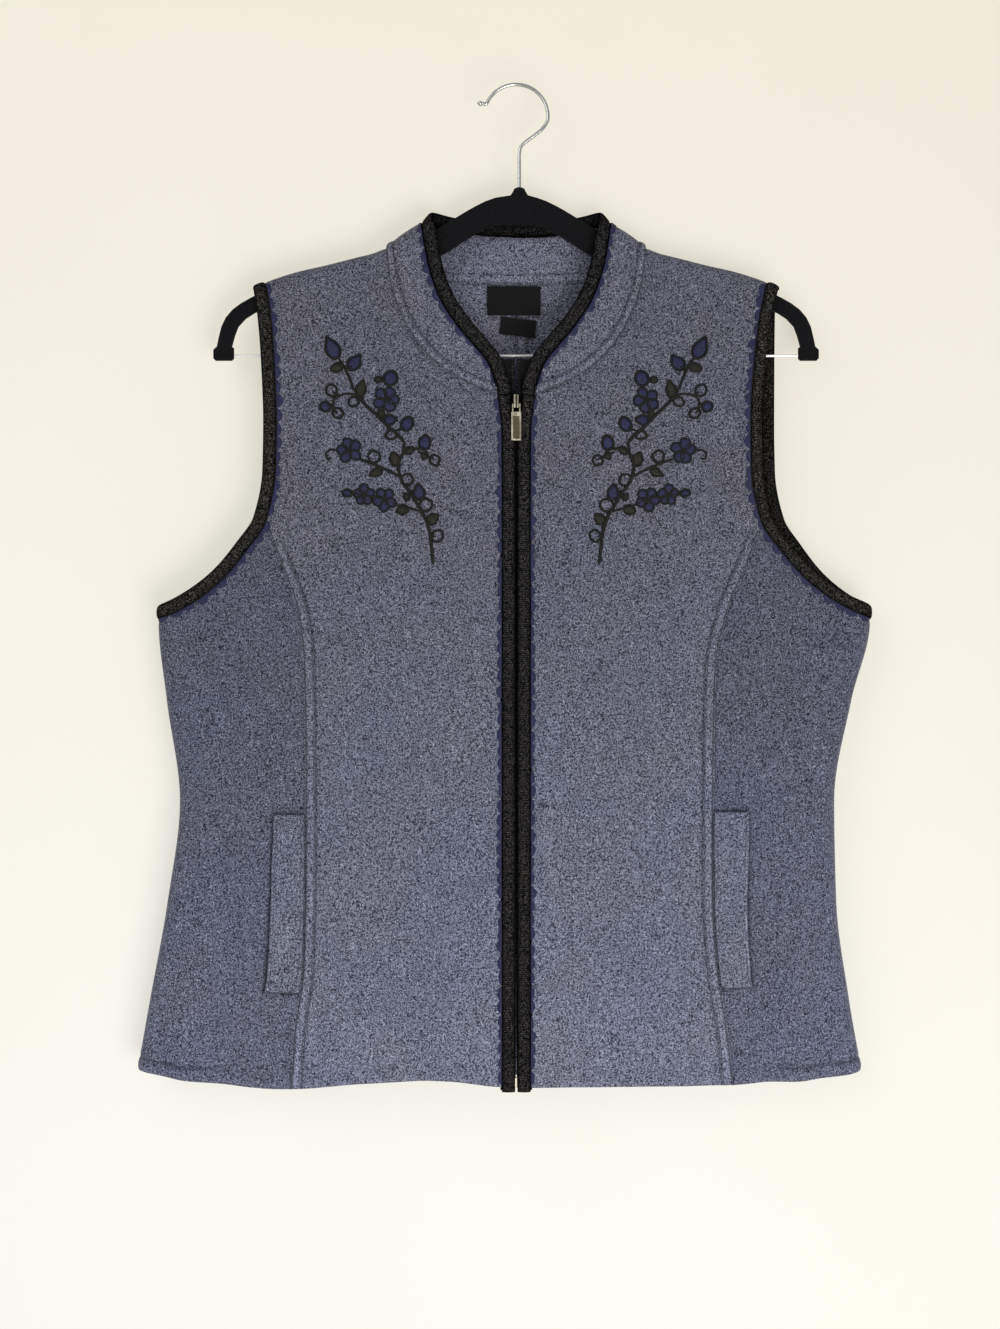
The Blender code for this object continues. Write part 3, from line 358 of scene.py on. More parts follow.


# %% [markdown]
# ## Creases
#
# Wool that hangs from a hanger keeps shallow dents: under the arms, from the hips to
# the pockets, and where the embroidery stiffens it. Each crease here is a listed
# line that lifts or sinks the cloth in a soft bell across, fading towards its ends.
# A very low ripple over everything stops any area from being perfectly smooth.

# %% Creases
CREASES = {  # start across, start height, end across, end height, half width, height of the ridge
    "front": (
        (-0.176, -0.33, -0.128, -0.47, 0.013, -0.0012),
        (-0.236, -0.405, -0.196, -0.48, 0.01, 0.001),
        (-0.216, -0.418, -0.18, -0.505, 0.009, -0.0009),
        (-0.236, -0.5, -0.17, -0.535, 0.01, 0.001),
        (-0.228, -0.545, -0.186, -0.566, 0.008, -0.001),
        (-0.12, -0.5, -0.028, -0.565, 0.017, -0.001),
        (-0.06, -0.56, -0.04, -0.735, 0.013, 0.0013),
        (-0.086, -0.585, -0.074, -0.735, 0.012, -0.0012),
        (-0.232, -0.585, -0.25, -0.725, 0.011, 0.0013),
        (-0.104, -0.18, -0.06, -0.36, 0.022, 0.0008),
        (-0.03, -0.29, -0.026, -0.42, 0.011, -0.0007),
        (0.174, -0.33, 0.13, -0.46, 0.014, -0.0012),
        (0.232, -0.41, 0.186, -0.47, 0.01, 0.0011),
        (0.212, -0.42, 0.176, -0.52, 0.009, -0.0009),
        (0.224, -0.505, 0.166, -0.548, 0.01, 0.001),
        (0.188, -0.56, 0.185, -0.728, 0.008, -0.0016),
        (0.222, -0.57, 0.226, -0.725, 0.008, -0.0013),
        (0.206, -0.565, 0.208, -0.728, 0.007, 0.0012),
        (0.108, -0.61, 0.128, -0.735, 0.015, 0.0011),
        (0.052, -0.48, 0.122, -0.54, 0.016, 0.0009),
        (0.03, -0.3, 0.024, -0.43, 0.012, 0.0008),
        (0.096, -0.15, 0.148, -0.23, 0.016, -0.0008),
        (-0.094, -0.152, -0.146, -0.24, 0.015, -0.0008),
    ),
    "back": (
        (-0.178, -0.2, -0.096, -0.3, 0.018, -0.0013),
        (0.182, -0.205, 0.104, -0.31, 0.017, -0.0012),
        (-0.214, -0.415, -0.15, -0.52, 0.013, 0.0012),
        (0.208, -0.412, 0.15, -0.53, 0.012, 0.0012),
        (-0.225, -0.52, -0.13, -0.56, 0.012, -0.0012),
        (0.214, -0.512, 0.112, -0.566, 0.013, -0.0011),
        (-0.034, -0.48, -0.052, -0.735, 0.014, 0.0011),
        (0.04, -0.5, 0.062, -0.735, 0.014, -0.0012),
        (-0.2, -0.59, -0.214, -0.728, 0.011, 0.0013),
        (0.16, -0.59, 0.17, -0.728, 0.011, 0.0012),
        (0.0, -0.17, 0.012, -0.26, 0.024, 0.0009),
    ),
}
RIPPLES = (  # wavelength across, wavelength up, phase, height of the wave
    (0.083, 0.147, 0.4, 0.00034),
    (0.051, -0.096, 2.1, 0.00022),
    (0.034, 0.061, 4.0, 0.00013),
    (0.024, -0.037, 5.2, 0.00007),
)


def crease(flat, face):
    """Sum of the bells across each listed line, and of a few low sine waves."""
    x, z = flat[..., 0], flat[..., 1]
    lift = np.zeros(x.shape)
    for x0, z0, x1, z1, half, high in CREASES[face]:
        run = np.hypot(x1 - x0, z1 - z0)
        ahead = ((x - x0) * (x1 - x0) + (z - z0) * (z1 - z0)) / run
        aside = ((x - x0) * (z1 - z0) - (z - z0) * (x1 - x0)) / run
        wander = 0.25 * half * np.sin(ahead * 2 * pi / 0.07 + x0 * 90)
        open_end = z1 < -0.72
        fade = ease(ahead / run * 2.5) * (1.0 if open_end else ease((run - ahead) / run * 2.5))
        lift = lift + high * fade * bell(aside - wander, half)
    turn = 0.0 if face == "front" else 1.7
    for wide, tall, phase, high in RIPPLES:
        lift = lift + high * np.sin(2 * pi * (x / wide + z / tall) + phase + turn)
    edge = ease((crest(x) - z) / 0.03) * ease((side_reach(z, 1) - np.abs(x)) / 0.02)
    return lift * edge


def drape(flat, face):
    """The hung form moved along its normal by the creases."""
    flat = np.asarray(flat, float)
    return hang(flat, face) + across_surface(hang, flat, face) * crease(flat, face)[..., None]


def drape_normal(flat, face):
    return across_surface(drape, np.asarray(flat, float), face)


print("creases:", sum(len(rows) for rows in CREASES.values()))

# %% [markdown]
# ## From grids of points to meshes
#
# A grid with rows and columns is the simplest surface there is: four neighbouring
# points make a face. A cloth piece is two grids, an outside and an inside, joined by
# a rounded rim, so that the cut edge of thick wool looks turned and soft. The UV map
# holds real metres along the cloth.

# %% Mesh tools
def numbered(*shape):
    """A grid of point numbers."""
    return np.arange(np.prod(shape)).reshape(shape)


def quads_of(index):
    """Faces between neighbouring rows and columns of an array of point numbers."""
    corners = [index[:-1, :-1], index[:-1, 1:], index[1:, 1:], index[1:, :-1]]
    return np.stack(corners, axis=-1).reshape(-1, 4)


def border(index):
    """The numbers of a grid's border points, in order once round it."""
    return np.concatenate([index[0, :-1], index[:-1, -1], index[-1, :0:-1], index[:0:-1, 0]])


def two_sided(index):
    """Faces of a grid, of a second grid below it, and of the rim between the two."""
    ring = border(index)
    upper = np.append(ring, ring[0])
    rim = quads_of(np.stack([upper + index.size, upper]))
    return np.concatenate([quads_of(index), quads_of(index)[:, ::-1] + index.size, rim])


def repeated(quads, count, size):
    """The faces of one small shape for count copies, each with its own size points."""
    return (quads[None] + (np.arange(count) * size)[:, None, None]).reshape(-1, 4)


def outward(points, quads):
    """Turns all faces over if the enclosed volume comes out negative."""
    a, b, c, d = (points[quads[:, k]] for k in range(4))
    volume = np.sum(a * np.cross(b, c)) + np.sum(a * np.cross(c, d))
    return quads if volume > 0 else quads[:, ::-1]


def mesh_piece(name, points, quads, material, uv=None, closed=True, painted_shading=None):
    """One smooth-shaded mesh object from numpy arrays of points and faces.

    The last argument holds painted shading, from -1 to 1 at each point: painted shade on the
    wool where it is positive, in grooves, along seams and beside raised parts, and painted light where it is
    negative.
    """
    points = np.asarray(points, float).reshape(-1, 3)
    quads = outward(points, quads) if closed else quads
    mesh = bpy.data.meshes.new(name)
    mesh.from_pydata(points.tolist(), [], quads.tolist())
    mesh.polygons.foreach_set("use_smooth", np.ones(len(mesh.polygons), bool))
    if uv is not None:
        corner = np.zeros(len(mesh.loops), int)
        mesh.loops.foreach_get("vertex_index", corner)
        layer = mesh.uv_layers.new(name="cloth")
        layer.data.foreach_set("uv", np.asarray(uv, float).reshape(-1, 2)[corner].ravel())
    if painted_shading is not None:
        layer = mesh.attributes.new("painted_shading", "FLOAT", "POINT")
        layer.data.foreach_set("value", np.asarray(painted_shading, float).ravel())
    piece = bpy.data.objects.new(name, mesh)
    bpy.context.scene.collection.objects.link(piece)
    mesh.materials.append(material)
    return piece


def dress(piece, node_name, body="vest"):
    """Parents a finished piece to the body it rides on, and hides the CAD solid it stands for."""
    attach(piece, body)
    if node_name:
        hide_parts(node_name)
    return piece


def cloth_wall(name, flat, face, material, raised, painted_shading):
    """A draped panel: outside and inside grids half a thickness apart, and a round rim."""
    middle, normal = drape(flat, face), drape_normal(flat, face)
    return wall(name, middle, normal, material, raised, flat, CLOTH, painted_shading)


INSIDE_PAINTED_LIGHT = 0.65  # painted light on the wool's inner face: what its painted shading loses
RIM_THINNER = 0.42  # the share of its half thickness that a wall loses at its border
RIM_DRAWN_IN, RIM_OUT = 0.0001, 0.00022  # border points set in, and the rim's set out


def wall(name, middle, normal, material, raised, uv, thick, painted_shading):
    """Middle surface plus and less half the thickness along the normal, and a rim.

    Raised is added to the outside alone. The border is thinner, and the rim between
    the two grids stands a little outside it, so that the edge looks rounded.
    """
    rows, cols = middle.shape[:2]
    inner_rows, inner_cols = np.arange(rows).clip(1, rows - 2), np.arange(cols).clip(1, cols - 2)
    out = unit(middle - middle[inner_rows][:, inner_cols])
    at_edge = np.ones((rows, cols, 1))
    at_edge[1:-1, 1:-1] = 0
    raised = np.broadcast_to(raised, (rows, cols))[..., None]
    half = thick / 2 * (1 - RIM_THINNER * at_edge)
    top = middle + normal * (half + raised * (1 - 0.4 * at_edge)) - out * RIM_DRAWN_IN * at_edge
    low = middle - normal * half - out * RIM_DRAWN_IN * at_edge
    index, count = numbered(rows, cols), rows * cols
    ring = border(index)
    rim = (middle + out * RIM_OUT).reshape(-1, 3)[ring]
    rim_index = 2 * count + np.append(np.arange(len(ring)), 0)
    upper = np.append(ring, ring[0])
    quads = [quads_of(index), quads_of(index)[:, ::-1] + count]
    quads.append(quads_of(np.stack([rim_index, upper])))
    quads.append(quads_of(np.stack([upper + count, rim_index])))
    points = np.concatenate([top.reshape(-1, 3), low.reshape(-1, 3), rim])
    uv = uv.reshape(-1, 2)
    uv = np.concatenate([uv, uv, uv[ring]])
    dark = np.broadcast_to(painted_shading, (rows, cols)).ravel()
    # The inner face: 1.2 times the outer face's painted shade, less a constant of painted light.
    dark = np.concatenate([dark, dark * 1.2 - INSIDE_PAINTED_LIGHT, dark[ring]]).clip(-1, 1)
    return mesh_piece(name, points, np.concatenate(quads), material, uv, painted_shading=dark)


# %% [markdown]
# ## Finishes
#
# Boiled wool is knitted, then shrunk until its loops close into a pebbled felt. What
# the eye reads is a mix of lighter and darker fibres over small soft bumps. One node
# group makes that speckle and height for every woollen and knitted finish, and each
# material gives it its own colours and grain.

# %% Node tools
def node(tree, kind, values=None, **settings):
    """Adds a shader node, sets its settings, and sets or links the named inputs."""
    made = tree.nodes.new(kind)
    for key, value in settings.items():
        setattr(made, key, value)
    for key, value in (values or {}).items():
        if isinstance(value, bpy.types.NodeSocket):
            tree.links.new(value, made.inputs[key])
        else:
            made.inputs[key].default_value = value
    return made


def rgba(red, green, blue):
    return (red, green, blue, 1.0)


def math_node(tree, operation, first, second=0.0, clamp=False):
    made = node(tree, "ShaderNodeMath", {0: first, 1: second}, operation=operation)
    made.use_clamp = clamp
    return made.outputs[0]


def mix_color(tree, share, *colors, blend="MIX"):
    """Two colours blended by a share; the numbers are the node's colour sockets."""
    colors = [c if isinstance(c, bpy.types.NodeSocket) else rgba(*c) for c in colors]
    values = {0: share, 6: colors[0], 7: colors[1]}
    return node(tree, "ShaderNodeMix", values, data_type="RGBA", blend_type=blend).outputs[2]


def mix_grey(tree, share, low, high):
    return mix_color(tree, share, (low, low, low), (high, high, high))


def multiplied(tree, first, second):
    """Two colours multiplied, channel by channel."""
    return mix_color(tree, 1.0, first, second, blend="MULTIPLY")


def spot(tree):
    """The point's place on the object, in metres."""
    return node(tree, "ShaderNodeTexCoord").outputs["Object"]


def axis(tree, letter, vector=None):
    """One coordinate of a vector, or else of the point's place."""
    parts = node(tree, "ShaderNodeSeparateXYZ", {0: vector or spot(tree)}).outputs
    return parts[letter]


def cloth_uv(tree):
    """The piece's own UV map, in metres along the cloth."""
    return node(tree, "ShaderNodeUVMap", uv_map="cloth").outputs[0]


def noise(tree, scale, detail=2.0, roughness=0.5):
    """Noise on the object's coordinates; scale is in cells to the metre."""
    values = {"Vector": spot(tree), "Scale": scale, "Detail": detail, "Roughness": roughness}
    return node(tree, "ShaderNodeTexNoise", values).outputs[0]


def times(tree, first, second):
    return math_node(tree, "MULTIPLY", first, second)


def plus(tree, first, second, clamp=False):
    return math_node(tree, "ADD", first, second, clamp)


def ramp(tree, value, low, high):
    """Maps low..high to 0..1, held at the ends."""
    values = {"Value": value, "From Min": low, "From Max": high}
    return node(tree, "ShaderNodeMapRange", values, clamp=True).outputs[0]


def new_group(name, inputs, outputs):
    """An empty node group, and its input and output sockets, named with their kinds."""
    tree = bpy.data.node_groups.new(name, "ShaderNodeTree")
    for way, sockets in (("INPUT", inputs), ("OUTPUT", outputs)):
        for key, kind in sockets.items():
            tree.interface.new_socket(key, in_out=way, socket_type=kind)
    return tree, tree.nodes.new("NodeGroupInput").outputs, tree.nodes.new("NodeGroupOutput").inputs


def new_material(name, roughness, metallic=0.0, sheen=0.0, specular=0.5):
    """A material with one Principled shader, whose constants sit on its own sockets."""
    material = bpy.data.materials.new(name)
    material.use_nodes = True
    shader = material.node_tree.nodes["Principled BSDF"]
    values = {"Roughness": roughness, "Metallic": metallic, "Specular IOR Level": specular}
    for key, value in {**values, "Sheen Weight": sheen, "Sheen Roughness": 0.5}.items():
        shader.inputs[key].default_value = value
    return material, material.node_tree, shader


def bump(tree, shader, height, strength, distance):
    values = {"Height": height, "Strength": strength, "Distance": distance}
    made = node(tree, "ShaderNodeBump", values)
    tree.links.new(made.outputs[0], shader.inputs["Normal"])


# %% The felted heather group
COLOR, VALUE = "NodeSocketColor", "NodeSocketFloat"
FELT_COLORS = ("Dark", "Light", "Fleck")
FELT_SIZES = ("Pebble Scale", "Fibre Scale", "Fleck Share", "Cloud")


def make_heather():
    """Speckle = fine fibre noise over pebble noise over broad cloudy patches."""
    inputs = {**dict.fromkeys(FELT_COLORS, COLOR), **dict.fromkeys(FELT_SIZES, VALUE)}
    tree, start, end = new_group("felted heather", inputs, {"Color": COLOR, "Height": VALUE})
    pebble = noise(tree, start["Pebble Scale"], roughness=0.62)
    fibre = noise(tree, start["Fibre Scale"], roughness=0.62)
    cloud = noise(tree, 26.0, roughness=0.62)
    fleck = noise(tree, times(tree, start["Fibre Scale"], 0.8), detail=0.0)
    both = plus(tree, times(tree, fibre, 0.45), times(tree, pebble, 0.55))
    speckle = ramp(tree, both, 0.435, 0.565)
    patches = times(tree, math_node(tree, "SUBTRACT", cloud, 0.5), start["Cloud"])
    speckle = plus(tree, speckle, patches, clamp=True)
    body = mix_color(tree, speckle, start["Dark"], start["Light"])
    limit = math_node(tree, "SUBTRACT", 0.72, times(tree, start["Fleck Share"], 0.6))
    shown = ramp(tree, math_node(tree, "SUBTRACT", fleck, limit), 0.0, 0.05)
    tree.links.new(mix_color(tree, shown, body, start["Fleck"]), end["Color"])
    tree.links.new(times(tree, pebble, 0.7), end["Height"])
    return tree


heather = make_heather()


PAINTED_SHADING_DARKENS = 0.60  # of its colour, where the painted shade is full
PEBBLE_DEPTH = 0.0008


def heather_material(name, dark, light, fleck, sizes, sheen=0.12, shade=None, gloss=0.12):
    """A woollen finish; sizes are pebble and fibre scale, fleck share and cloudiness."""
    material, tree, shader = new_material(name, 0.95, sheen=sheen, specular=gloss)
    values = {"Dark": rgba(*dark), "Light": rgba(*light), "Fleck": rgba(*fleck)}
    values.update(zip(FELT_SIZES, sizes))
    felt = node(tree, "ShaderNodeGroup", values, node_tree=heather)
    color = felt.outputs["Color"]
    if shade is not None:
        color = shade(tree, color)
    # Painted shading from the mesh: painted shade where it is positive, painted light where it is negative.
    painted_shading = node(tree, "ShaderNodeAttribute", attribute_name="painted_shading").outputs["Fac"]
    left = math_node(tree, "SUBTRACT", 1.0, times(tree, painted_shading, PAINTED_SHADING_DARKENS))
    tree.links.new(multiplied(tree, color, left), shader.inputs["Base Color"])
    bump(tree, shader, felt.outputs["Height"], 0.75, PEBBLE_DEPTH)
    return material


# %% [markdown]
# The wool on the body is a slate blue, with painted light towards the hem and painted
# shade towards the top. The side fronts are cut on another grain of the cloth, and their
# own material is darker, partly for that grain and partly as painted shade.

# %% Wool, knit and thread
def painted_light_and_patches(tree, color):
    """Painted light towards the hem and painted shade towards the top, by a ramp on height; and warmer or
    cooler in broad patches, the cloth's own colour.
    """
    share = ramp(tree, axis(tree, "Z"), -0.30, -0.72)
    tint = mix_color(tree, share, (0.66, 0.655, 0.67), (0.93, 0.965, 1.04))
    share = ramp(tree, noise(tree, 14.0, detail=3.0), 0.36, 0.64)
    cast = mix_color(tree, share, (1.02, 1.0, 0.97), (0.98, 1.0, 1.025))
    return multiplied(tree, multiplied(tree, color, tint), cast)


def boiled_wool(name, *colors):
    return heather_material(f"slate boiled wool{name}", *colors, (780.0, 1500.0, 0.10, 0.12), shade=painted_light_and_patches)


wool = boiled_wool("", (0.018, 0.018, 0.028), (0.235, 0.240, 0.310), (0.38, 0.39, 0.47))
# The side fronts: darker for their grain, and darker still as painted shade where they turn away from the
# light.
side_wool_with_painted_shade = boiled_wool(", side", (0.013, 0.013, 0.021), (0.180, 0.185, 0.252), (0.31, 0.32, 0.40))
welt_wool = boiled_wool(", welt", (0.020, 0.021, 0.032), (0.245, 0.252, 0.330), (0.40, 0.42, 0.50))
RIB_PITCH = 0.0015
TURN_TO_UV = 0.002  # metres of UV to a radian round a binding's section


def wave(tree, value, pitch):
    """A sine along a value, with the given length of one wave."""
    return math_node(tree, "SINE", times(tree, value, 2 * pi / pitch))


def ribs_and_painted_shade(tree, color):
    """Knit ribs across a binding: a sine along its UV, with painted shade towards both edges and towards the
    back.

    The UV's second coordinate is the angle round the section, times TURN_TO_UV.
    """
    share = ramp(tree, wave(tree, axis(tree, "X", cloth_uv(tree)), RIB_PITCH), -1.0, 1.0)
    tint = mix_grey(tree, share, 0.5, 1.2)
    angle = times(tree, axis(tree, "Y", cloth_uv(tree)), 1 / TURN_TO_UV)
    front_on = math_node(tree, "ABSOLUTE", math_node(tree, "SINE", angle))
    # Painted shade on the binding's rounded edges, and on its parts towards the back.
    edge = mix_grey(tree, ramp(tree, front_on, 0.20, 0.98), 0.14, 1.0)
    inner = mix_grey(tree, ramp(tree, axis(tree, "Y"), -0.006, 0.006), 1.0, 0.70)
    return multiplied(tree, multiplied(tree, multiplied(tree, color, tint), edge), inner)


def knit(name, light, fleck):
    sizes = (620.0, 1300.0, 0.20, 0.20)
    return heather_material(name, (0.002, 0.002, 0.002), light, fleck, sizes, 0.0, shade=ribs_and_painted_shade, gloss=0.0)


edge_knit = knit("charcoal knit", (0.023, 0.0215, 0.0215), (0.060, 0.057, 0.055))
arm_knit = knit("charcoal knit, armhole", (0.029, 0.027, 0.026), (0.080, 0.077, 0.070))
THREAD_PITCH = 0.00045


def thread_material(name, dark, light):
    """Satin stitch: threads side by side, as a sine across the UV, each a little different."""
    material, tree, shader = new_material(name, 0.55, sheen=0.0, specular=0.2)
    strands = wave(tree, axis(tree, "X", cloth_uv(tree)), THREAD_PITCH)
    both = plus(tree, times(tree, strands, 0.22), noise(tree, 900.0))
    color = mix_color(tree, ramp(tree, both, 0.25, 0.78), dark, light)
    tree.links.new(color, shader.inputs["Base Color"])
    bump(tree, shader, both, 0.5, 0.0003)
    return material


navy_thread = thread_material("navy thread", (0.005, 0.005, 0.020), (0.034, 0.036, 0.100))
black_thread = thread_material("black-olive thread", (0.0015, 0.0015, 0.001), (0.0150, 0.0140, 0.0095))
olive_thread = thread_material("dark olive thread", (0.003, 0.003, 0.002), (0.034, 0.031, 0.020))
slate_thread = thread_material("slate thread", (0.030, 0.030, 0.040), (0.10, 0.10, 0.13))
print("finishes:", len(bpy.data.materials))

# %% [markdown]
# ## Seam lines, shared by neighbours
#
# Two panels meet along one line, so each line is worked out once and both panels read
# it. The neck seam comes from the collar's table; its stations crowd together where
# the collar goes over the hanger's arm, because the cloth turns quickest there.

# %% Lines along the edges
FOLD_ROWS = 12
FOLD_STEPS = SHOULDER_FOLD * np.linspace(0, 1.9, FOLD_ROWS)
HOLE_ROWS, UNDERARM_ROWS = 68, 44  # up the front armhole, and below the princess seam
SEAM_ROWS = {"front": 112, "back": 92}  # up the side seam
NECK_ROWS = {"front": 38, "back": 42}


def armhole_line(side, sign, face):
    """The armhole's edge in flat points, from the shoulder down to the underarm."""
    rows = np.array(ARMHOLE)
    share = np.linspace(0, 1, len(rows))
    rows[:, 0] += ARMHOLE_OUT[face][side] * ease(share / 0.3) * ease((1 - share) / 0.5)
    rows[0, 1] = crest(rows[0, 0])
    rows[-1, 0] = side_reach(rows[-1, 1], sign)
    knots = distances(rows)
    high, meet = FOLD_STEPS / knots[-1], knots[PRINCESS_KNOT] / knots[-1]
    upper = np.linspace(high[-1], meet, HOLE_ROWS + 1)[1:]
    lower = np.linspace(meet, 1, UNDERARM_ROWS + 1)[1:]
    return path(rows, np.concatenate([high, upper, lower])) * (sign, 1)


def neck_line(face):
    """The collar table at close stations on one face, from the centre out to the shoulder.

    Its columns are the table's, then the neck seam's direction in the flat.
    """
    rows = np.array(COLLAR)
    rows[COLLAR_TOP, 1] = crest(rows[COLLAR_TOP, 0])
    first, last = (0, COLLAR_TOP) if face == "front" else (len(rows) - 1, COLLAR_TOP)
    at = np.linspace(first, last, 181)
    fine = np.stack([smooth(np.arange(len(rows)), rows[:, k], at) for k in range(5)], axis=-1)
    fine = np.concatenate([fine, unit(np.gradient(fine[:, :2], axis=0))], axis=1)
    left = distances(fine[::-1, :2])[::-1]
    even = np.linspace(left[0], FOLD_STEPS[-1], NECK_ROWS[face] + 1)[:-1]
    return read(fine, -np.concatenate([even, FOLD_STEPS[::-1]]), -left)


def neck_edge(face, sign):
    """The panels' edge at the neck seam, half a gap outside it."""
    points = neck_line(face)
    line = points[:, :2] + GAP / 2 * np.stack([points[:, 6], -points[:, 5]], axis=-1)
    line[-1, 1] = crest(line[-1, 0]) - GAP / 2
    return line * (sign, 1)


def princess(sign, offset):
    """The princess seam from the hem up to the armhole, moved sideways by offset."""
    low = hem_height("front", sign * seam_across(PRINCESS_SEAM[0][0], sign))
    height = np.linspace(low, PRINCESS_TOP[1], SEAM_ROWS["front"])
    return flat_points(sign * (seam_across(height, sign) + offset), height)


def side_seam(sign, face):
    height = np.linspace(HEMS[face][0][1], ARMHOLE[-1][1], SEAM_ROWS[face])
    return flat_points(sign * (side_reach(height, sign) - GAP / 2), height)


def panel_grid(face, inner, outer, steps, spread):
    """Rows ruled from the inner to the outer edge, bent at the ends to hem and shoulder.

    A Coons patch: the ruled rows plus how far the hem and the shoulder line leave
    their own chords, each fading linearly towards the other. Columns keep fixed
    distances (steps) from the outer edge and are even elsewhere.
    """
    wide = np.linalg.norm(outer - inner, axis=1)
    near = 1 - np.asarray(steps)[None] / wide[:, None]
    even = near[:, -1:] * np.linspace(0, 1, spread + 1)[None, :-1]
    u = np.concatenate([even, near[:, ::-1]], axis=1)
    v = np.linspace(0, 1, len(inner))[:, None]
    ruled = inner[:, None] + (outer - inner)[:, None] * u[..., None]
    hem, top = (inner[k] + (outer[k] - inner[k]) * u[..., None] for k in (0, -1))
    bend = (1 - v) * (hem_height(face, hem[..., 0]) - hem[..., 1])
    ruled[..., 1] += bend + v * (crest(top[..., 0]) - GAP / 2 - top[..., 1])
    return ruled


# %% [markdown]
# ## The wool panels
#
# On the real vest the allowance of the princess seam is pressed towards the centre and
# stitched down twice, which leaves a raised band. That band is part of the front
# panel's surface here: its height depends only on the distance from the seam, with two
# narrow grooves where the rows of topstitching pull it down.

# %% Raised seams
STITCH_IN = 0.0011  # from each edge of a raised band to its row of topstitching
GROOVE_HALF, GROOVE_DEEP = 0.00045, 0.75  # the depth is a share of the band's height
BAND_RISE, BAND_FALL = 0.0012, 0.0016  # how far its soft sides run
SHADE_LINE_HALF, SHADE_LINE_OUT = 0.0009, 0.0003  # the painted shade line along each edge of a band


def seam_band(distance, width=RIDGE_WIDTH):
    """Height of a topstitched band: soft sides, a flat top and two stitched grooves."""
    rise = 0.35 + 0.65 * ease(distance / BAND_RISE)
    fall = 1 - ease((distance - width + 0.0009) / BAND_FALL)
    grooves = bell(distance - STITCH_IN, GROOVE_HALF) + bell(distance - width + STITCH_IN, GROOVE_HALF)
    return RIDGE_HEIGHT * (rise * fall - GROOVE_DEEP * grooves * fall)


def seam_painted_shade(distance, width=RIDGE_WIDTH):
    """Painted shade along a topstitched band: a bell at each edge, and a painted highlight on its raised top.
    """
    near = bell(distance - SHADE_LINE_OUT, SHADE_LINE_HALF)
    far = bell(distance - width - SHADE_LINE_OUT, SHADE_LINE_HALF)
    return near + 0.9 * far - 0.24 * np.exp(-(((distance - width / 2) / (width * 0.36)) ** 4))


HEM_STITCHED = 0.0095  # height of the hem's row of stitches above its edge
HEM_THICKER = 0.0005  # where it is turned up
HEM_GROOVE, HEM_GROOVE_HALF = 0.0008, 0.0010


def hem_turn(flat, face):
    """Height and painted shade of the hem: thicker where it is turned up, with painted shade in the groove at
    its stitches.
    """
    above = flat[..., 1] - hem_height(face, flat[..., 0])
    groove = bell(above - HEM_STITCHED, HEM_GROOVE_HALF)
    thicker = HEM_THICKER * (1 - ease((above - HEM_STITCHED - HEM_GROOVE_HALF) / 0.003))
    return thicker - HEM_GROOVE * groove, 0.75 * groove


# %% Fronts, side fronts and backs
FRONT_TURN, BACK_TURN = -0.330, -0.420  # where a front or back edge's rows change pitch
BAND_FADES = 8  # rows over which a band fades in at its end
FAR_AWAY = 1.0  # metres: off the band
FRONT_STEPS = np.linspace(0, 0.0096, 13)  # close columns, which draw the band
BACK_STEPS = np.linspace(0, 0.0150, 8)
EVEN_COLUMNS = {"front": 44, "back": 64}


def edge_heights(low, turn, top, lower, upper):
    """Even heights from the hem to the turn, and even ones from there to the top."""
    return np.concatenate([np.linspace(low, turn, lower), np.linspace(turn, top, upper + 1)[1:]])


def centre_front(side, sign):
    """Front panel, from the binding beside the zip to the princess seam."""
    neck = neck_edge("front", sign)
    low = hem_height("front", sign * FRONT_EDGE[0][2])
    count = SEAM_ROWS["front"]
    height = edge_heights(low, FRONT_TURN, neck[0, 1], count, HOLE_ROWS - NECK_ROWS["front"])
    edge = front_edge(sign, height, GAP)
    inner = np.concatenate([edge[:-1], [(edge[-1, 0], neck[0, 1])], neck[1:]])
    hole = armhole_line(side, sign, "front")[FOLD_ROWS + HOLE_ROWS - 1 :: -1]
    hole[-1, 1] -= GAP / 2
    outer = np.concatenate([princess(sign, -GAP / 2)[:-1], hole])
    flat = panel_grid("front", inner, outer, FRONT_STEPS, EVEN_COLUMNS["front"])
    away = np.append(np.full(EVEN_COLUMNS["front"], FAR_AWAY), FRONT_STEPS[::-1])
    away = np.broadcast_to(away, flat.shape[:2])
    fade = ease((count - 1 - np.arange(len(flat))) / BAND_FADES)[:, None]
    turn, dark = hem_turn(flat, "front")
    raised, painted_shading = seam_band(away) * fade + turn, seam_painted_shade(away) * fade + dark
    return flat, cloth_wall(f"front_panel_{side}", flat, "front", wool, raised, painted_shading)


SHADOW_DARK, SHADOW_HALF = 1.15, 0.0018
SHADOW_OUT = (0.0022, 0.0003)  # from a welt's free edge, and from its ends


def welt_shadow(flat, side, away):
    """Soft darkness on the panel just outside the welt's free edge and its ends.

    The free edge stands off the panel and hides a little more of it than the ends do.
    """
    height, (top, bottom, _, _) = flat[..., 1], WELTS[side]
    _, wide = welt_across(side, 1, height, 0)
    past_ends = np.maximum(bottom - height, height - top)
    outside = np.maximum(away - wide - SHADOW_OUT[0], past_ends - SHADOW_OUT[1])
    return SHADOW_DARK * bell(np.maximum(outside, 0), SHADOW_HALF)


SIDE_COLUMNS = 110  # close enough to hold the welt's thin shadow line


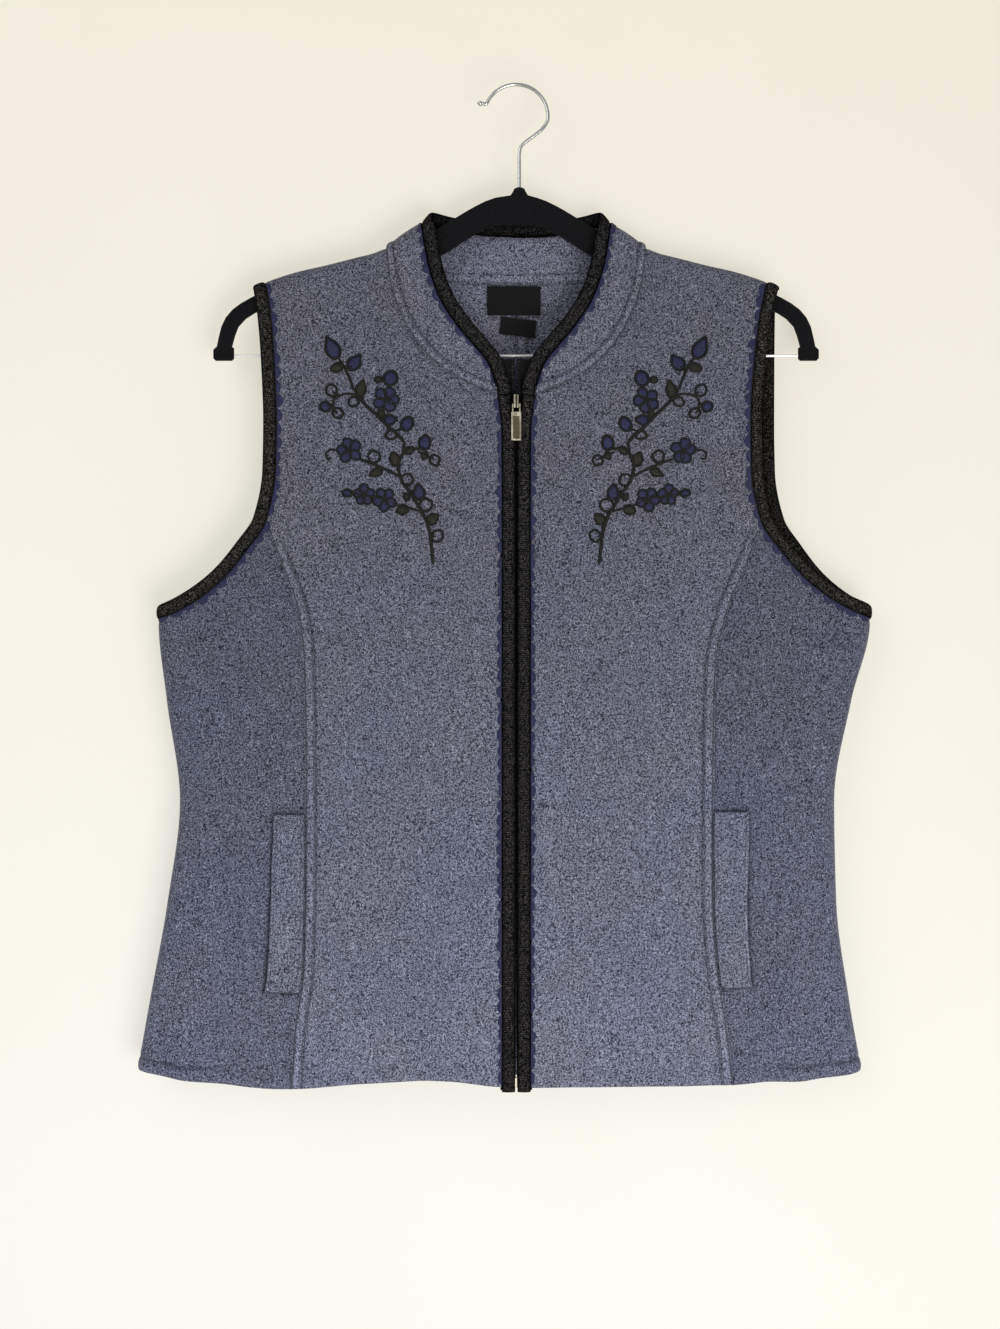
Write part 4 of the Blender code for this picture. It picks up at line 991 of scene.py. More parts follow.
def side_front(side, sign):
    """Side panel, from the princess seam to the side seam; its top bends to the armhole."""
    inner = princess(sign, GAP / 2)
    outer = side_seam(sign, "front")
    hole = armhole_line(side, sign, "front")[FOLD_ROWS + HOLE_ROWS - 1 :]
    inner[-1], hole[-1] = hole[0], outer[-1]
    run = distances(hole)
    share = np.linspace(0, 1, SIDE_COLUMNS)
    hole = read(hole, share * run[-1], run)
    v = np.linspace(0, 1, len(inner))[:, None]
    flat = inner[:, None] + (outer - inner)[:, None] * share[:, None]
    chord = hole[0] + (hole[-1] - hole[0]) * share[:, None]
    flat = flat + (v**3)[..., None] * (hole - chord)[None]
    low = inner[0] + (outer[0] - inner[0]) * share[:, None]
    flat[..., 1] += (1 - v) * (hem_height("front", low[:, 0]) - low[:, 1])
    turn, dark = hem_turn(flat, "front")
    away = np.linalg.norm(flat - flat[:, :1], axis=-1)
    # Painted shade: a dark line along the princess seam, plus the welt's painted shadow.
    painted_shading = dark + 0.8 * bell(away, 0.0010) + welt_shadow(flat, side, away)
    return flat, cloth_wall(f"side_panel_{side}", flat, "front", side_wool_with_painted_shade, turn, painted_shading)


def back(side, sign):
    """Half of the back, from the centre back seam to the side seam."""
    neck = neck_edge("back", sign)
    neck[0, 0] = sign * GAP / 2
    low = hem_height("back", 0.0)
    count = SEAM_ROWS["back"]
    centre_rows = HOLE_ROWS + UNDERARM_ROWS - NECK_ROWS["back"]
    height = edge_heights(low, BACK_TURN, neck[0, 1], count, centre_rows)
    centre = flat_points(sign * GAP / 2, height)
    inner = np.concatenate([centre[:-1], neck])
    hole = armhole_line(side, sign, "back")[::-1]
    hole[-1, 1] -= GAP / 2
    outer = np.concatenate([side_seam(sign, "back"), hole[1:]])
    flat = panel_grid("back", inner, outer, BACK_STEPS, EVEN_COLUMNS["back"])
    raised, painted_shading = hem_turn(flat, "back")
    away = np.linalg.norm(flat - flat[:, :1], axis=-1)
    # Painted shade along the neck seam, on the rows next to it.
    neck_rows = np.arange(len(flat))[:, None] >= count + centre_rows - 2
    painted_shading = painted_shading + bell(away, 0.0016) * neck_rows
    if sign > 0:  # the allowance of the centre back seam is pressed to the left
        from_centre = np.abs(flat[..., 0])
        rows = np.arange(len(flat))[:, None]
        near = (from_centre < 0.012) * ease((count + centre_rows - rows) / BAND_FADES)
        raised = raised + seam_band(from_centre) * near
        painted_shading = painted_shading + seam_painted_shade(from_centre) * near
    return flat, cloth_wall(f"back_panel_{side}", flat, "back", wool, raised, painted_shading)


panels, grids = {}, {}
for side, sign in SIDES:
    for build, kind in ((centre_front, "front"), (side_front, "side_front"), (back, "back")):
        grids[kind, side], piece = build(side, sign)
        panels[kind, side] = dress(piece, f"{kind}_{side}")
print("panel points:", {key: grid.shape[:2] for key, grid in grids.items()})

# %% [markdown]
# ## The collar and the knit bindings
#
# The collar is a low band that stands up from the neck seam. It is ruled between two
# lines in space: its seam, which lies on the draped panels, and its top edge, which
# the table gives as a distance, a depth and a height. A soft roll bends it outwards.

# %% Collar band
COLLAR_PAINTED_LIGHT = 0.18  # painted light: how far its painted shading sits below the body's


def collar_lines():
    """Seam, neck edge and seam normal, from the right front round to the left front."""
    halves = []
    for face in ("front", "back"):
        points = neck_line(face)
        edge = np.stack([points[:, 2], -points[:, 3], points[:, 4]], axis=-1)
        lines = [drape(points[:, :2], face), edge, drape_normal(points[:, :2], face)]
        lines = np.concatenate(lines, axis=1)
        halves.append(lines if face == "front" else lines[::-1])
    half = np.concatenate([halves[0], halves[1][1:]])
    whole = np.concatenate([half * np.tile([-1.0, 1.0, 1.0], 3), half[-2::-1]])
    return whole[:, :3], whole[:, 3:6], unit(whole[:, 6:])


NECK_SEAM, NECK_EDGE, NECK_NORMAL = collar_lines()
NECK_UP = NECK_EDGE - NECK_SEAM
COLLAR_TALL = np.linalg.norm(NECK_UP, axis=1)
COLLAR_ROLL = 0.0012  # how far the band bulges between its seam and its edge
COLLAR_SWAY = 0.0004  # a faint waviness, which grows towards the edge


def collar_surface(share):
    """Points and normals of the band's mid wall; share runs from the seam to the edge.

    The roll is half a sine wave. Near the seam the normal settles into the panel's own.
    """
    share = np.broadcast_to(share, (len(NECK_SEAM), np.shape(share)[-1]))[..., None]
    middle = NECK_SEAM[:, None] * (1 - share) + NECK_EDGE[:, None] * share
    normal = unit(np.cross(np.gradient(middle, axis=0), NECK_UP[:, None]))
    normal = normal * np.sign(np.sum(normal * NECK_NORMAL[:, None], axis=-1, keepdims=True))
    settle = bell(share * COLLAR_TALL[:, None, None], 0.002)
    normal = unit(normal * (1 - settle) + NECK_NORMAL[:, None] * settle)
    low = np.minimum(1, COLLAR_TALL / 0.03)[:, None, None]
    return middle + normal * COLLAR_ROLL * np.sin(pi * share) * low, normal


def collar_band():
    """The band with close columns at its raised seam and a faint waviness."""
    scale = np.minimum(1, COLLAR_TALL / 0.012)[:, None]
    start = EDGE_GAP - GAP / 2
    steps = start + np.linspace(0, COLLAR_SEAM_WIDTH + 0.0016, 14)[None] * scale
    near = steps / COLLAR_TALL[:, None]
    rest = near[:, -1:] + (1 - near[:, -1:]) * np.linspace(0, 1, 12)[None, 1:]
    middle, normal = collar_surface(np.concatenate([near, rest], axis=1))
    away = np.concatenate([(steps - start) / scale, np.full(rest.shape, FAR_AWAY)], axis=1)
    run = distances(NECK_SEAM)
    sway = COLLAR_SWAY * np.sin(run / 0.021)[:, None] * np.linspace(0, 1, middle.shape[1])[None]
    uv = flat_points(run[:, None], 0.0015 * np.arange(1, away.shape[1] + 1))
    raised = seam_band(away, COLLAR_SEAM_WIDTH) * scale
    painted_shading = seam_painted_shade(away, COLLAR_SEAM_WIDTH) - COLLAR_PAINTED_LIGHT
    return wall("collar_band", middle + normal * sway[..., None], normal, wool, raised, uv, CLOTH, painted_shading)


# %% [markdown]
# A binding is a folded knit strip. Its section is a superellipse, a shape between an
# ellipse and a rectangle, carried along the garment's edge. The ribs run across it.

# %% Knit bindings
SQUARENESS = 0.80  # 1 is an ellipse, 0 a rectangle
STRIP_SIDES = 20
SMALL = 0.0001  # makes directions short beside the line they are carried with
END_SHARES, END_OUT = (0.01, 0.55), (0.0004, 0.0003)  # the two narrow rings of a closed end


def strip(name, centre, across, width, thick, material, closed=False, sides=STRIP_SIDES):
    """Carries a superellipse along a line: width times cos^s across, thickness times sin^s out."""
    ahead = unit(tangents(centre, closed))
    across = square_to(ahead, across)
    normal = np.cross(ahead, across)
    angle = np.linspace(0, 2 * pi, sides + 1)
    a = np.sign(np.cos(angle)) * np.abs(np.cos(angle)) ** SQUARENESS
    b = np.sign(np.sin(angle)) * np.abs(np.sin(angle)) ** SQUARENESS
    width = np.broadcast_to(width, len(centre))[:, None, None]
    ring = across[:, None] * a[None, :, None] * width / 2
    ring = ring + normal[:, None] * b[None, :, None] * thick / 2
    points = centre[:, None] + ring
    run = distances(centre)
    if closed:
        points = np.concatenate([points, points[:1]])
        run = np.append(run, run[-1] + np.linalg.norm(centre[-1] - centre[0]))
    else:
        first, last = [
            [centre[k] + ring[k] * share + ahead[k] * out * way for share, out in zip(END_SHARES, END_OUT)]
            for k, way in ((0, -1), (-1, 1))
        ]
        points = np.concatenate([first, points, last[::-1]])
        run = np.pad(run, 2, mode="edge")
    uv = flat_points(run[:, None], angle[None] * TURN_TO_UV)
    return mesh_piece(name, points, quads_of(numbered(*points.shape[:2])), material, uv)


def thicken(line):
    """The same line with evenly spaced points, about one for each knit rib."""
    run = distances(line)
    return read(line, np.linspace(0, run[-1], int(run[-1] / RIB_PITCH) + 2))


def neck_binding():
    """The strip round the collar's edge; at each end it turns into the front binding."""
    edge, toward, count = NECK_EDGE, unit(NECK_UP), len(NECK_EDGE)
    low = np.minimum(np.arange(count), count - 1 - np.arange(count)) / (count - 1)
    blend = ease((low - 0.02) / 0.10)[:, None]
    inward = np.stack([-np.sign(edge[:, 0]), np.zeros(count), np.zeros(count)], axis=-1)
    toward = unit(toward * blend + inward * (1 - blend))
    ends = np.array([[COLLAR[0][0] * s, edge[0, 1], COLLAR[0][1]] for s in (-1, 1)])
    line = np.concatenate([ends[:1], edge, ends[1:]])
    toward = np.concatenate([toward[:1], toward, toward[-1:]])
    both = thicken(np.concatenate([line, toward * SMALL], axis=1))
    weights = bell(np.arange(-14, 15), 4.5)
    weights = weights / weights.sum()
    padded = np.pad(both, ((14, 14), (0, 0)), mode="edge")
    soft = np.stack([np.convolve(padded[:, k], weights, "valid") for k in range(6)], axis=-1)
    top = ease((both[:, 2:3] + 0.135) / 0.015)
    both = both * (1 - top) + soft * top
    line, toward = both[:, :3], unit(both[:, 3:])
    toward = square_to(unit(tangents(line)), toward)
    centre = line + toward * (EDGE_GAP + BINDING_WIDTH / 2)
    return strip("neck_trim", centre, toward, BINDING_WIDTH, BINDING_THICK, edge_knit)


def front_binding(side, sign):
    height = np.linspace(FRONT_EDGE[0][0], COLLAR[0][1] - GAP, 340)
    inner, outer = column(FRONT_EDGE, 1, height), column(FRONT_EDGE, 2, height)
    centre = hang(flat_points(sign * (inner + outer) / 2, height), "front")
    across = np.tile([1.0, 0.0, 0.0], (len(height), 1))
    return strip(f"front_trim_{side}", centre, across, outer - inner, BINDING_THICK, edge_knit)


def armhole_sides(side, sign, face):
    """The armhole's edge with the flat direction that leads out of the cloth."""
    flat = armhole_line(side, sign, face)
    slope = unit(np.gradient(flat, axis=0))
    slope[-1] = (sign, 0)
    return flat, np.stack([-slope[:, 1], slope[:, 0]], axis=-1) * sign


def armhole_binding(side, sign):
    loop, away = [], []
    for face in ("front", "back"):
        flat, out = armhole_sides(side, sign, face)
        if face == "back":
            flat, out = flat[::-1], out[::-1]
        share = np.linspace(0, 1, len(flat))
        narrower = BINDING_NARROWER.get((face, side), 0)
        wide = BINDING_WIDTH - narrower * ease(share / 0.15) * ease((1 - share) / 0.15)
        here = hang(flat + out * (EDGE_GAP + wide / 2)[:, None], face)
        loop.append(here[:-1])
        away.append(np.column_stack([unit(here - hang(flat, face)) * SMALL, wide])[:-1])
    both = np.concatenate([np.concatenate(loop), np.concatenate(away)], axis=1)
    both = thicken(np.concatenate([both, both[:1]]))[:-1]
    return strip(f"armhole_trim_{side}", both[:, :3], both[:, 3:6], both[:, 6], BINDING_THICK, arm_knit, True)


collar = dress(collar_band(), "collar")
bindings = [dress(neck_binding(), "neck_binding")]
for side, sign in SIDES:
    bindings.append(dress(front_binding(side, sign), f"front_binding_{side}"))
    bindings.append(dress(armhole_binding(side, sign), f"armhole_binding_{side}"))
print("bindings:", [piece.name for piece in bindings])

# %% [markdown]
# Every seam has its cloth allowance behind it, so no light shows through where two
# pieces meet. Here a round cord, a little thinner than the wall, lies inside each seam.

# %% Seam allowances
ALLOWANCE = 0.0020


def allowance(name, line, material=wool, closed=False):
    upright = np.tile([0.0, 1.0, 0.0], (len(line), 1))
    piece = strip(name, line, upright, ALLOWANCE, ALLOWANCE, material, closed, sides=7)
    return dress(piece, None)


middle_back = flat_points(0.0, np.linspace(-0.7310, -0.1475, 220))
allowances = [
    allowance("neck_allowance", NECK_SEAM),
    allowance("collar_allowance", NECK_EDGE + unit(NECK_UP) * EDGE_GAP / 2, edge_knit),
    allowance("centre_back_allowance", drape(middle_back, "back")),
]
for side, sign in SIDES:
    height = np.linspace(-0.7225, ARMHOLE[-1][1], 160)
    side_line = flat_points(sign * side_reach(height, sign), height)
    across = np.linspace(COLLAR[COLLAR_TOP][0] + 0.001, ARMHOLE[0][0], 80)
    shoulder_line = flat_points(sign * across, crest(across))
    zip_line = front_edge(sign, np.linspace(-0.7360, -0.2330, 240), GAP / 2)
    loop = []
    for face in ("front", "back"):
        flat, out = armhole_sides(side, sign, face)
        edge_line = hang(flat + out * EDGE_GAP / 2, face)
        loop.append(edge_line[:-1] if face == "front" else edge_line[:0:-1])
    allowances += [
        allowance(f"princess_allowance_{side}", drape(princess(sign, 0.0), "front")),
        allowance(f"side_allowance_{side}", hang(side_line, "front")),
        allowance(f"shoulder_allowance_{side}", hang(shoulder_line, "front")),
        allowance(f"front_allowance_{side}", hang(zip_line, "front"), edge_knit),
        # The armhole's cord is in near-black thread: painted shade in the gap at the armhole's edge.
        allowance(f"armhole_allowance_{side}", np.concatenate(loop), black_thread, True),
    ]
print("seam allowances:", len(allowances))

# %% [markdown]
# ## Pocket welts
#
# A welt is a folded strip sewn over the pocket's slit, so its far edge lifts a little.

# %% Welts
WELT_INSET = 0.0022  # of the stitches from its long edges
WELT_GROOVE, WELT_GROOVE_HALF = 0.0007, 0.0006
EDGE_HIGHLIGHT_IN, EDGE_HIGHLIGHT_HALF = 0.0012, 0.0011  # of the painted highlight along the free edge


def welt(side, sign):
    top, bottom, wide_top, _ = WELTS[side]
    v = np.linspace(0, 1, 72)[:, None]
    u = np.linspace(0, 1, 20)[None, :]
    height = bottom + (top - bottom) * v
    flat = flat_points(sign * welt_across(side, sign, height, u)[0], height)
    middle, normal = drape(flat, "front"), drape_normal(flat, "front")
    lift = WELT_LIFT * u**2 * np.sin(pi * v) ** 0.5
    rim = np.minimum(np.minimum(u, 1 - u) * wide_top, np.minimum(v, 1 - v) * (top - bottom))
    groove = WELT_GROOVE * bell(rim - WELT_INSET, WELT_GROOVE_HALF)
    centre = middle + normal * (CLOTH / 2 + GAP + WELT_THICK / 2 + lift)[..., None]
    # A little darker overall, with a painted highlight along the free edge.
    painted_shading = 0.10 - 0.34 * bell((1 - u) * wide_top - EDGE_HIGHLIGHT_IN, EDGE_HIGHLIGHT_HALF)
    return wall(f"pocket_welt_{side}", centre, normal, welt_wool, -groove, flat, WELT_THICK, painted_shading)


welts = [dress(welt(side, sign), f"welt_{side}") for side, sign in SIDES]

# %% [markdown]
# ## Places on the cloth
#
# Stitches, scallops and embroidery all follow some line on the cloth. A place is a
# function: given a distance along the line and one away from it, it answers with the
# point on the cloth's outer surface and the direction out of it.

# %% Places
def on_cloth(flat, face, lift=0.0):
    """The outer surface of the wall at flat points, and its normal."""
    normal = drape_normal(flat, face)
    return drape(flat, face) + normal * (CLOTH / 2 + np.asarray(lift)[..., None]), normal


def beside(line, toward, face, lift=0.0):
    """A place beside a flat line: along it, and away from it in the given directions."""
    run, toward = distances(line), np.broadcast_to(toward, line.shape)

    def place(along, away):
        return on_cloth(read(line, along, run) + read(toward, along, run) * away[..., None], face, lift)

    return place, run[-1]


def hem_line(face, first, last, up):
    across = np.linspace(first, last, 300)
    return flat_points(across, hem_height(face, across) + up)


def collar_place(above, lift=0.0):
    """A place along the collar, above its seam; with None it runs down from its top edge."""
    run = distances(NECK_EDGE if above is None else NECK_SEAM)
    middle, normal = collar_surface(np.linspace(0, 1, 41))

    def place(along, away):
        high = np.interp(along, run, COLLAR_TALL)
        share = (high - away if above is None else above + away) / high
        share = np.clip(share, 0, 1) * 40
        low = np.clip(share.astype(int), 0, 39)
        blend = (share - low)[..., None]
        station = np.interp(along, run, np.arange(len(run)))
        row = np.clip(station.astype(int), 0, len(run) - 2)
        part = (station - row)[..., None]

        def pick(grid):
            near = grid[row, low] * (1 - blend) + grid[row, low + 1] * blend
            far = grid[row + 1, low] * (1 - blend) + grid[row + 1, low + 1] * blend
            return near * (1 - part) + far * part

        out = unit(pick(normal))
        return pick(middle) + out * (CLOTH / 2 + lift), out

    return place, run[-1]


# %% [markdown]
# ## Topstitching
#
# One machine stitch is a short spindle of thread that dips into the wool at both ends.
# All the stitches of a seam are made in one array: the spindle's points for every
# stitch at once.

# %% Rows of stitches
STITCH_PITCH, STITCH_LENGTH, THREAD_RADIUS, STITCH_SINK = 0.0034, 0.0027, 0.00034, 0.0001
STITCH_STRAY = 0.00008  # each stitch leaves its row by about this
SPINDLE = np.array([0.25, 0.85, 1.0, 0.85, 0.25])  # shares of the thread's radius
COLLAR_ENDS = 0.012  # of the collar's seam, left without stitches


def stitch_row(place, length, away=0.0):
    """Spindles along a place, thin and sunk at both ends: points, faces and UVs."""
    count = int(length / STITCH_PITCH)
    ring, side = np.linspace(-1, 1, 5), np.arange(6) * pi / 3
    begin = (np.arange(count) + 0.5) * length / count
    along = begin[:, None] + ring * STITCH_LENGTH / 2
    away = np.full(along.shape, away) + STITCH_STRAY * random.normal(size=(count, 1))
    centre, normal = place(along, away)
    ahead = unit(centre[:, -1:] - centre[:, :1])
    aside = np.cross(ahead, normal)
    thick = THREAD_RADIUS * SPINDLE[None, :, None, None]
    depth = STITCH_SINK + THREAD_RADIUS * (1.2 * np.abs(ring) ** 3 - 0.4)
    turn = np.cos(side)[:, None], np.sin(side)[:, None]
    points = centre[:, :, None] - normal[:, :, None] * depth[None, :, None, None]
    points = points + thick * (aside[:, :, None] * turn[0] + normal[:, :, None] * turn[1])
    points, index = points.reshape(-1, 3), numbered(count, 5, 6)
    tube = quads_of(np.concatenate([index[0], index[0, :, :1]], axis=1))
    first, last = index[:, 0], index[:, 4]
    caps = [first[:, [3, 2, 1, 0]], first[:, [5, 4, 3, 0]], last[:, :4], last[:, [0, 3, 4, 5]]]
    quads = np.concatenate([repeated(tube, count, 30), *caps])
    return points, outward(points, quads), points[:, [2, 0]]


def joined(name, parts, material):
    """Several parts as one mesh; each part is its points, its faces and its UVs."""
    offset, quads = 0, []
    for points, faces, _ in parts:
        quads.append(faces + offset)
        offset += len(points)
    points, uv = (np.concatenate([part[k] for part in parts]) for k in (0, 2))
    return mesh_piece(name, points, np.concatenate(quads), material, uv, closed=False)


def topstitching(side, sign):
    """Rows beside the princess seam, round the hem, and along both edges of the welt."""
    rows = []
    for away in (STITCH_IN, RIDGE_WIDTH - STITCH_IN):
        place, length = beside(princess(sign, 0.0), (-sign, 0), "front", RIDGE_HEIGHT * 0.55)
        rows.append(stitch_row(place, length - 0.006, away))
    reach = float(side_reach(np.array(-0.72), sign)) - 0.004
    for face, start in (("front", 0.012), ("back", 0.002)):
        line = hem_line(face, sign * start, sign * reach, HEM_STITCHED)
        rows.append(stitch_row(*beside(line, (0, 1), face, -0.0002)))
    top, bottom, _, _ = WELTS[side]
    height = np.linspace(bottom + 0.002, top - 0.002, 90)
    for share, inset in ((0, WELT_INSET), (1, -WELT_INSET)):
        across, wide = welt_across(side, sign, height, share)
        lift = GAP + WELT_THICK - 0.0004
        lift = lift + share * 0.9 * WELT_LIFT * np.mean((1 + inset / wide) ** 2)
        line = flat_points(sign * (across + inset), height)
        rows.append(stitch_row(*beside(line, (1, 0), "front", lift)))
    return joined(f"topstitching_{side}", rows, slate_thread)


def collar_stitching():
    rows = []
    for above in (STITCH_IN, COLLAR_SEAM_WIDTH - STITCH_IN):
        place, length = collar_place(EDGE_GAP + above, RIDGE_HEIGHT * 0.5)

        def inside(along, away, place=place):
            return place(along + COLLAR_ENDS, away)

        rows.append(stitch_row(inside, length - 2 * COLLAR_ENDS))
    return joined("collar_stitching", rows, slate_thread)


stitching = [dress(topstitching(side, sign), None) for side, sign in SIDES]
stitching.append(dress(collar_stitching(), None))
print("stitches:", sum(len(piece.data.vertices) for piece in stitching) // 30)

# %% [markdown]
# ## The scalloped edge
#
# Beside every binding runs a row of navy half-moons in satin stitch. Each is a low
# dome on the wool whose straight side lies along the binding.

# %% Scallops
SCALLOP_PITCH, SCALLOP_WIDTH, SCALLOP_HIGH = 0.0104, 0.0029, 0.0007
PAD_SUNK = 0.0004  # of a satin pad's underside, below the cloth's surface


def scallop_row(place, length, start, scale):
    """Domes: width a power of a sine along each scallop, height a half ellipse across it."""
    count = max(int(round(length / SCALLOP_PITCH)), 1)
    phase, share = np.linspace(0.02, 0.98, 15), np.linspace(0, 1, 6)
    pitch = length / count
    along = (np.arange(count)[:, None, None] + phase[None, :, None]) * pitch + np.zeros(len(share))
    uneven = 1 + 0.16 * random.normal(size=(count, 1, 1))
    jag = 1 + 0.08 * random.normal(size=(count, len(phase), 1)) * (share > 0.5)
    along = along + 0.0007 * random.normal(size=(count, 1, 1))
    wide = SCALLOP_WIDTH * scale * uneven * jag * np.sin(pi * phase[None, :, None]) ** 0.62
    point, normal = place(along + start, wide * share)
    dome = np.sqrt(np.clip(1 - (share * 0.98) ** 2, 0, 1)) * np.sin(pi * phase)[:, None] ** 0.4
    top = point + normal * (SCALLOP_HIGH * dome[None, ..., None] + 0.00005)
    low = point - normal * PAD_SUNK
    size = 2 * dome.size
    points = np.stack([top, low], axis=1).reshape(count, size, 3)
    quads = repeated(outward(points[0], two_sided(numbered(*dome.shape))), count, size)
    uv = flat_points(along, wide * share)
    uv = np.stack([uv, uv], axis=1).reshape(-1, 2)
    return points.reshape(-1, 3), quads, uv


def scallops(name, *rows):
    return dress(joined(name, rows, navy_thread), None)


ZIP_SCALE, WIDE_SCALE = 1.1, 1.3  # of the scallops' width, beside the zip and elsewhere
edging = []
for side, sign in SIDES:
    line = front_edge(sign, np.linspace(-0.7330, -0.2350, 400), GAP / 2)
    place, length = beside(line, (sign, 0), "front")
    edging.append(scallops(f"front_scallops_{side}", scallop_row(place, length, 0.0, ZIP_SCALE)))
    rows = []
    for face in ("front", "back"):
        flat, out = armhole_sides(side, sign, face)
        place, length = beside(flat, -out, face)
        rows.append(scallop_row(place, length - 0.008, 0.004, WIDE_SCALE))
    edging.append(scallops(f"armhole_scallops_{side}", *rows))
place, length = collar_place(None)
edging.append(scallops("neck_scallops", scallop_row(place, length - 0.005, 0.0025, WIDE_SCALE)))
print("scalloped edges:", len(edging))

# %% [markdown]
# ## Embroidered sprays
#
# Each front carries one spray, mirrored on the other side. All its shapes come from
# one unit disk: stretched, pinched to a tip and turned, the disk becomes a petal, a
# leaf, a bud or a berry. Filled, it is a pad of satin stitch, with the threads lying
# across the longer way. As an outline, it is a cord of black thread. The petals and
# buds are navy, and the leaves olive. The tables are in millimetres, measured from
# the vest's centre.

# %% Tables of the spray
STEMS = (  # half width of the stem, then its (across, height) points
    (1.25, ((130, -204), (124.5, -212.5), (120.5, -222), (118, -229))),
    (1.45, ((118.5, -227), (111.5, -237), (102, -246), (93, -255), (85, -262), (80.5, -268))),
    (1.3, ((81, -266), (82.5, -275), (85.5, -283), (84.5, -291), (81, -297))),
    (1.45, ((84, -294), (76.5, -304), (71, -313), (66, -322), (63, -331), (61.5, -342), (60, -356))),
    (0.95, ((124, -213), (120, -211), (118, -209))),
    (0.95, ((124, -213), (127, -210), (129, -211))),
    (1.0, ((116, -232), (122, -231), (128, -232), (133, -236), (133, -242), (130, -245))),
    (0.9, ((128, -232), (132, -230), (134, -229))),
    (0.95, ((113, -236), (111, -231), (112, -227))),
    (0.9, ((133, -238), (137, -239), (139, -240))),
    (0.95, ((97, -250), (97.5, -245), (95, -239))),
    (0.9, ((93, -226), (97, -222), (100, -221))),
    (0.9, ((88, -258), (83, -257), (80, -254))),
    (1.05, ((82, -275), (76, -271), (70, -271.5), (66, -270))),
    (0.9, ((72, -273), (66, -276), (59, -279))),
    (1.2, ((84, -292), (93, -287), (102, -283), (115, -278))),
    (0.95, ((127, -273.5), (134, -271.5), (138.5, -274.5), (137.5, -278.5), (134, -277.5))),
    (1.0, ((69, -317), (76, -315), (84, -313), (96, -308), (110, -305), (122, -303))),
    (0.9, ((84, -284), (86, -281), (88, -279))),
    (0.9, ((97, -286), (100, -287), (103, -288.5))),
    (0.9, ((78, -302), (74, -302), (71, -302))),
    (0.9, ((76, -305), (79, -308), (80, -309))),
    (0.9, ((64, -326), (62, -324), (60, -323))),
    (0.9, ((62, -334), (60, -335), (58, -335))),
)
FLOWERS = (  # across, height, petals, radius, turn in degrees
    (94.5, -235.5, 5, 9.6, 40),
    (121.3, -272.3, 5, 9.4, 5),
    (95.6, -308.2, 5, 8.8, -12),
    (110.6, -304.4, 5, 7.8, 20),
)
FILLED = {  # across, height, length, width, pinch, turn in degrees
    "navy": (
        (134.5, -196.8, 18.0, 10.4, 0.62, 64),
        (117.5, -207.9, 13.5, 9.4, 0.6, 128),
        (91.3, -219.9, 11.0, 10.2, 0.1, 110),
        (139.1, -240.1, 8.0, 7.4, 0.1, 20),
        (91.5, -250.2, 9.6, 7.4, 0.4, 175),
        (79.3, -253.2, 10.8, 8.6, 0.15, 120),
        (66.4, -266.8, 11.0, 8.6, 0.3, 100),
        (70.5, -302.7, 11.4, 8.6, 0.4, 85),
        (122.9, -303.2, 7.2, 5.0, 0.05, 5),
    ),
    "olive": (
        (112.8, -227.4, 14.5, 8.6, 0.55, 105),
        (130.9, -211.6, 10.4, 7.6, 0.35, 350),
        (100.4, -220.8, 5.6, 5.2, 0.1, 0),
        (98.0, -245.4, 7.0, 5.6, 0.35, 70),
        (88.1, -278.7, 11.8, 8.6, 0.35, 70),
        (101.9, -288.4, 11.4, 7.0, 0.55, 335),
        (82.4, -315.6, 9.8, 8.0, 0.3, 340),
        (60.6, -322.4, 10.4, 8.4, 0.35, 140),
        (77.5, -272.4, 8.4, 6.0, 0.3, 160),
        (66.6, -276.6, 6.0, 5.0, 0.4, 300),
        (79.4, -306.2, 6.4, 4.4, 0.4, 60),
    ),
}
LOOPS = (  # across, height, length, width, pinch, turn in degrees
    (134.5, -228.2, 9.0, 8.0, 0.1, 60),
    (129.9, -244.9, 8.0, 7.2, 0.05, 30),
    (118.3, -236.8, 7.6, 6.8, 0.1, 320),
    (90.9, -261.3, 8.4, 6.6, 0.35, 350),
    (59.1, -279.9, 8.0, 7.4, 0.25, 250),
    (103.2, -276.9, 9.0, 8.4, 0.1, 60),
    (79.3, -293.8, 9.0, 8.4, 0.15, 30),
    (65.5, -312.2, 9.8, 9.0, 0.15, 160),
    (57.2, -334.8, 8.6, 8.0, 0.1, 120),
)
MM = 0.001
PAD_HIGH = 0.0009
UNSTEADY = 0.16  # mm, of an outline's path
STEM_SHARE = 0.88  # of the table's half widths, since the thread's height adds to them
OUTLINE_HALF = {"navy": 0.00088, "olive": 0.0007, "petal": 0.00078, "loop": 0.00092}
PAD_SHARE = {"navy": (0.86, 0.86), "olive": (0.86, 0.80)}  # of the length and width
OUTLINE_SHARE = {"navy": 1.0, "olive": 0.90}


# %% Building the sprays
def direction(degrees):
    return np.array([np.cos(np.radians(degrees)), np.sin(np.radians(degrees))])


def leaf_shape(disk, length, width, pinch, turn):
    """Unit disk to leaf: x stretched, y narrowed towards the tip, then turned."""
    x, y = disk[..., 0], disk[..., 1]
    along = x * length / 2
    aside = y * width / 2 * (1 - pinch * ease((x + 0.15) / 1.15))
    c, s = direction(turn)
    return np.stack([along * c - aside * s, along * s + aside * c], axis=-1)


def unit_disk(steps):
    """A square grid bent to a disk, so that no point is shared by many faces."""
    u, v = np.meshgrid(np.linspace(-1, 1, steps), np.linspace(-1, 1, steps))
    return np.stack([u * np.sqrt(1 - v**2 / 2), v * np.sqrt(1 - u**2 / 2)], axis=-1)


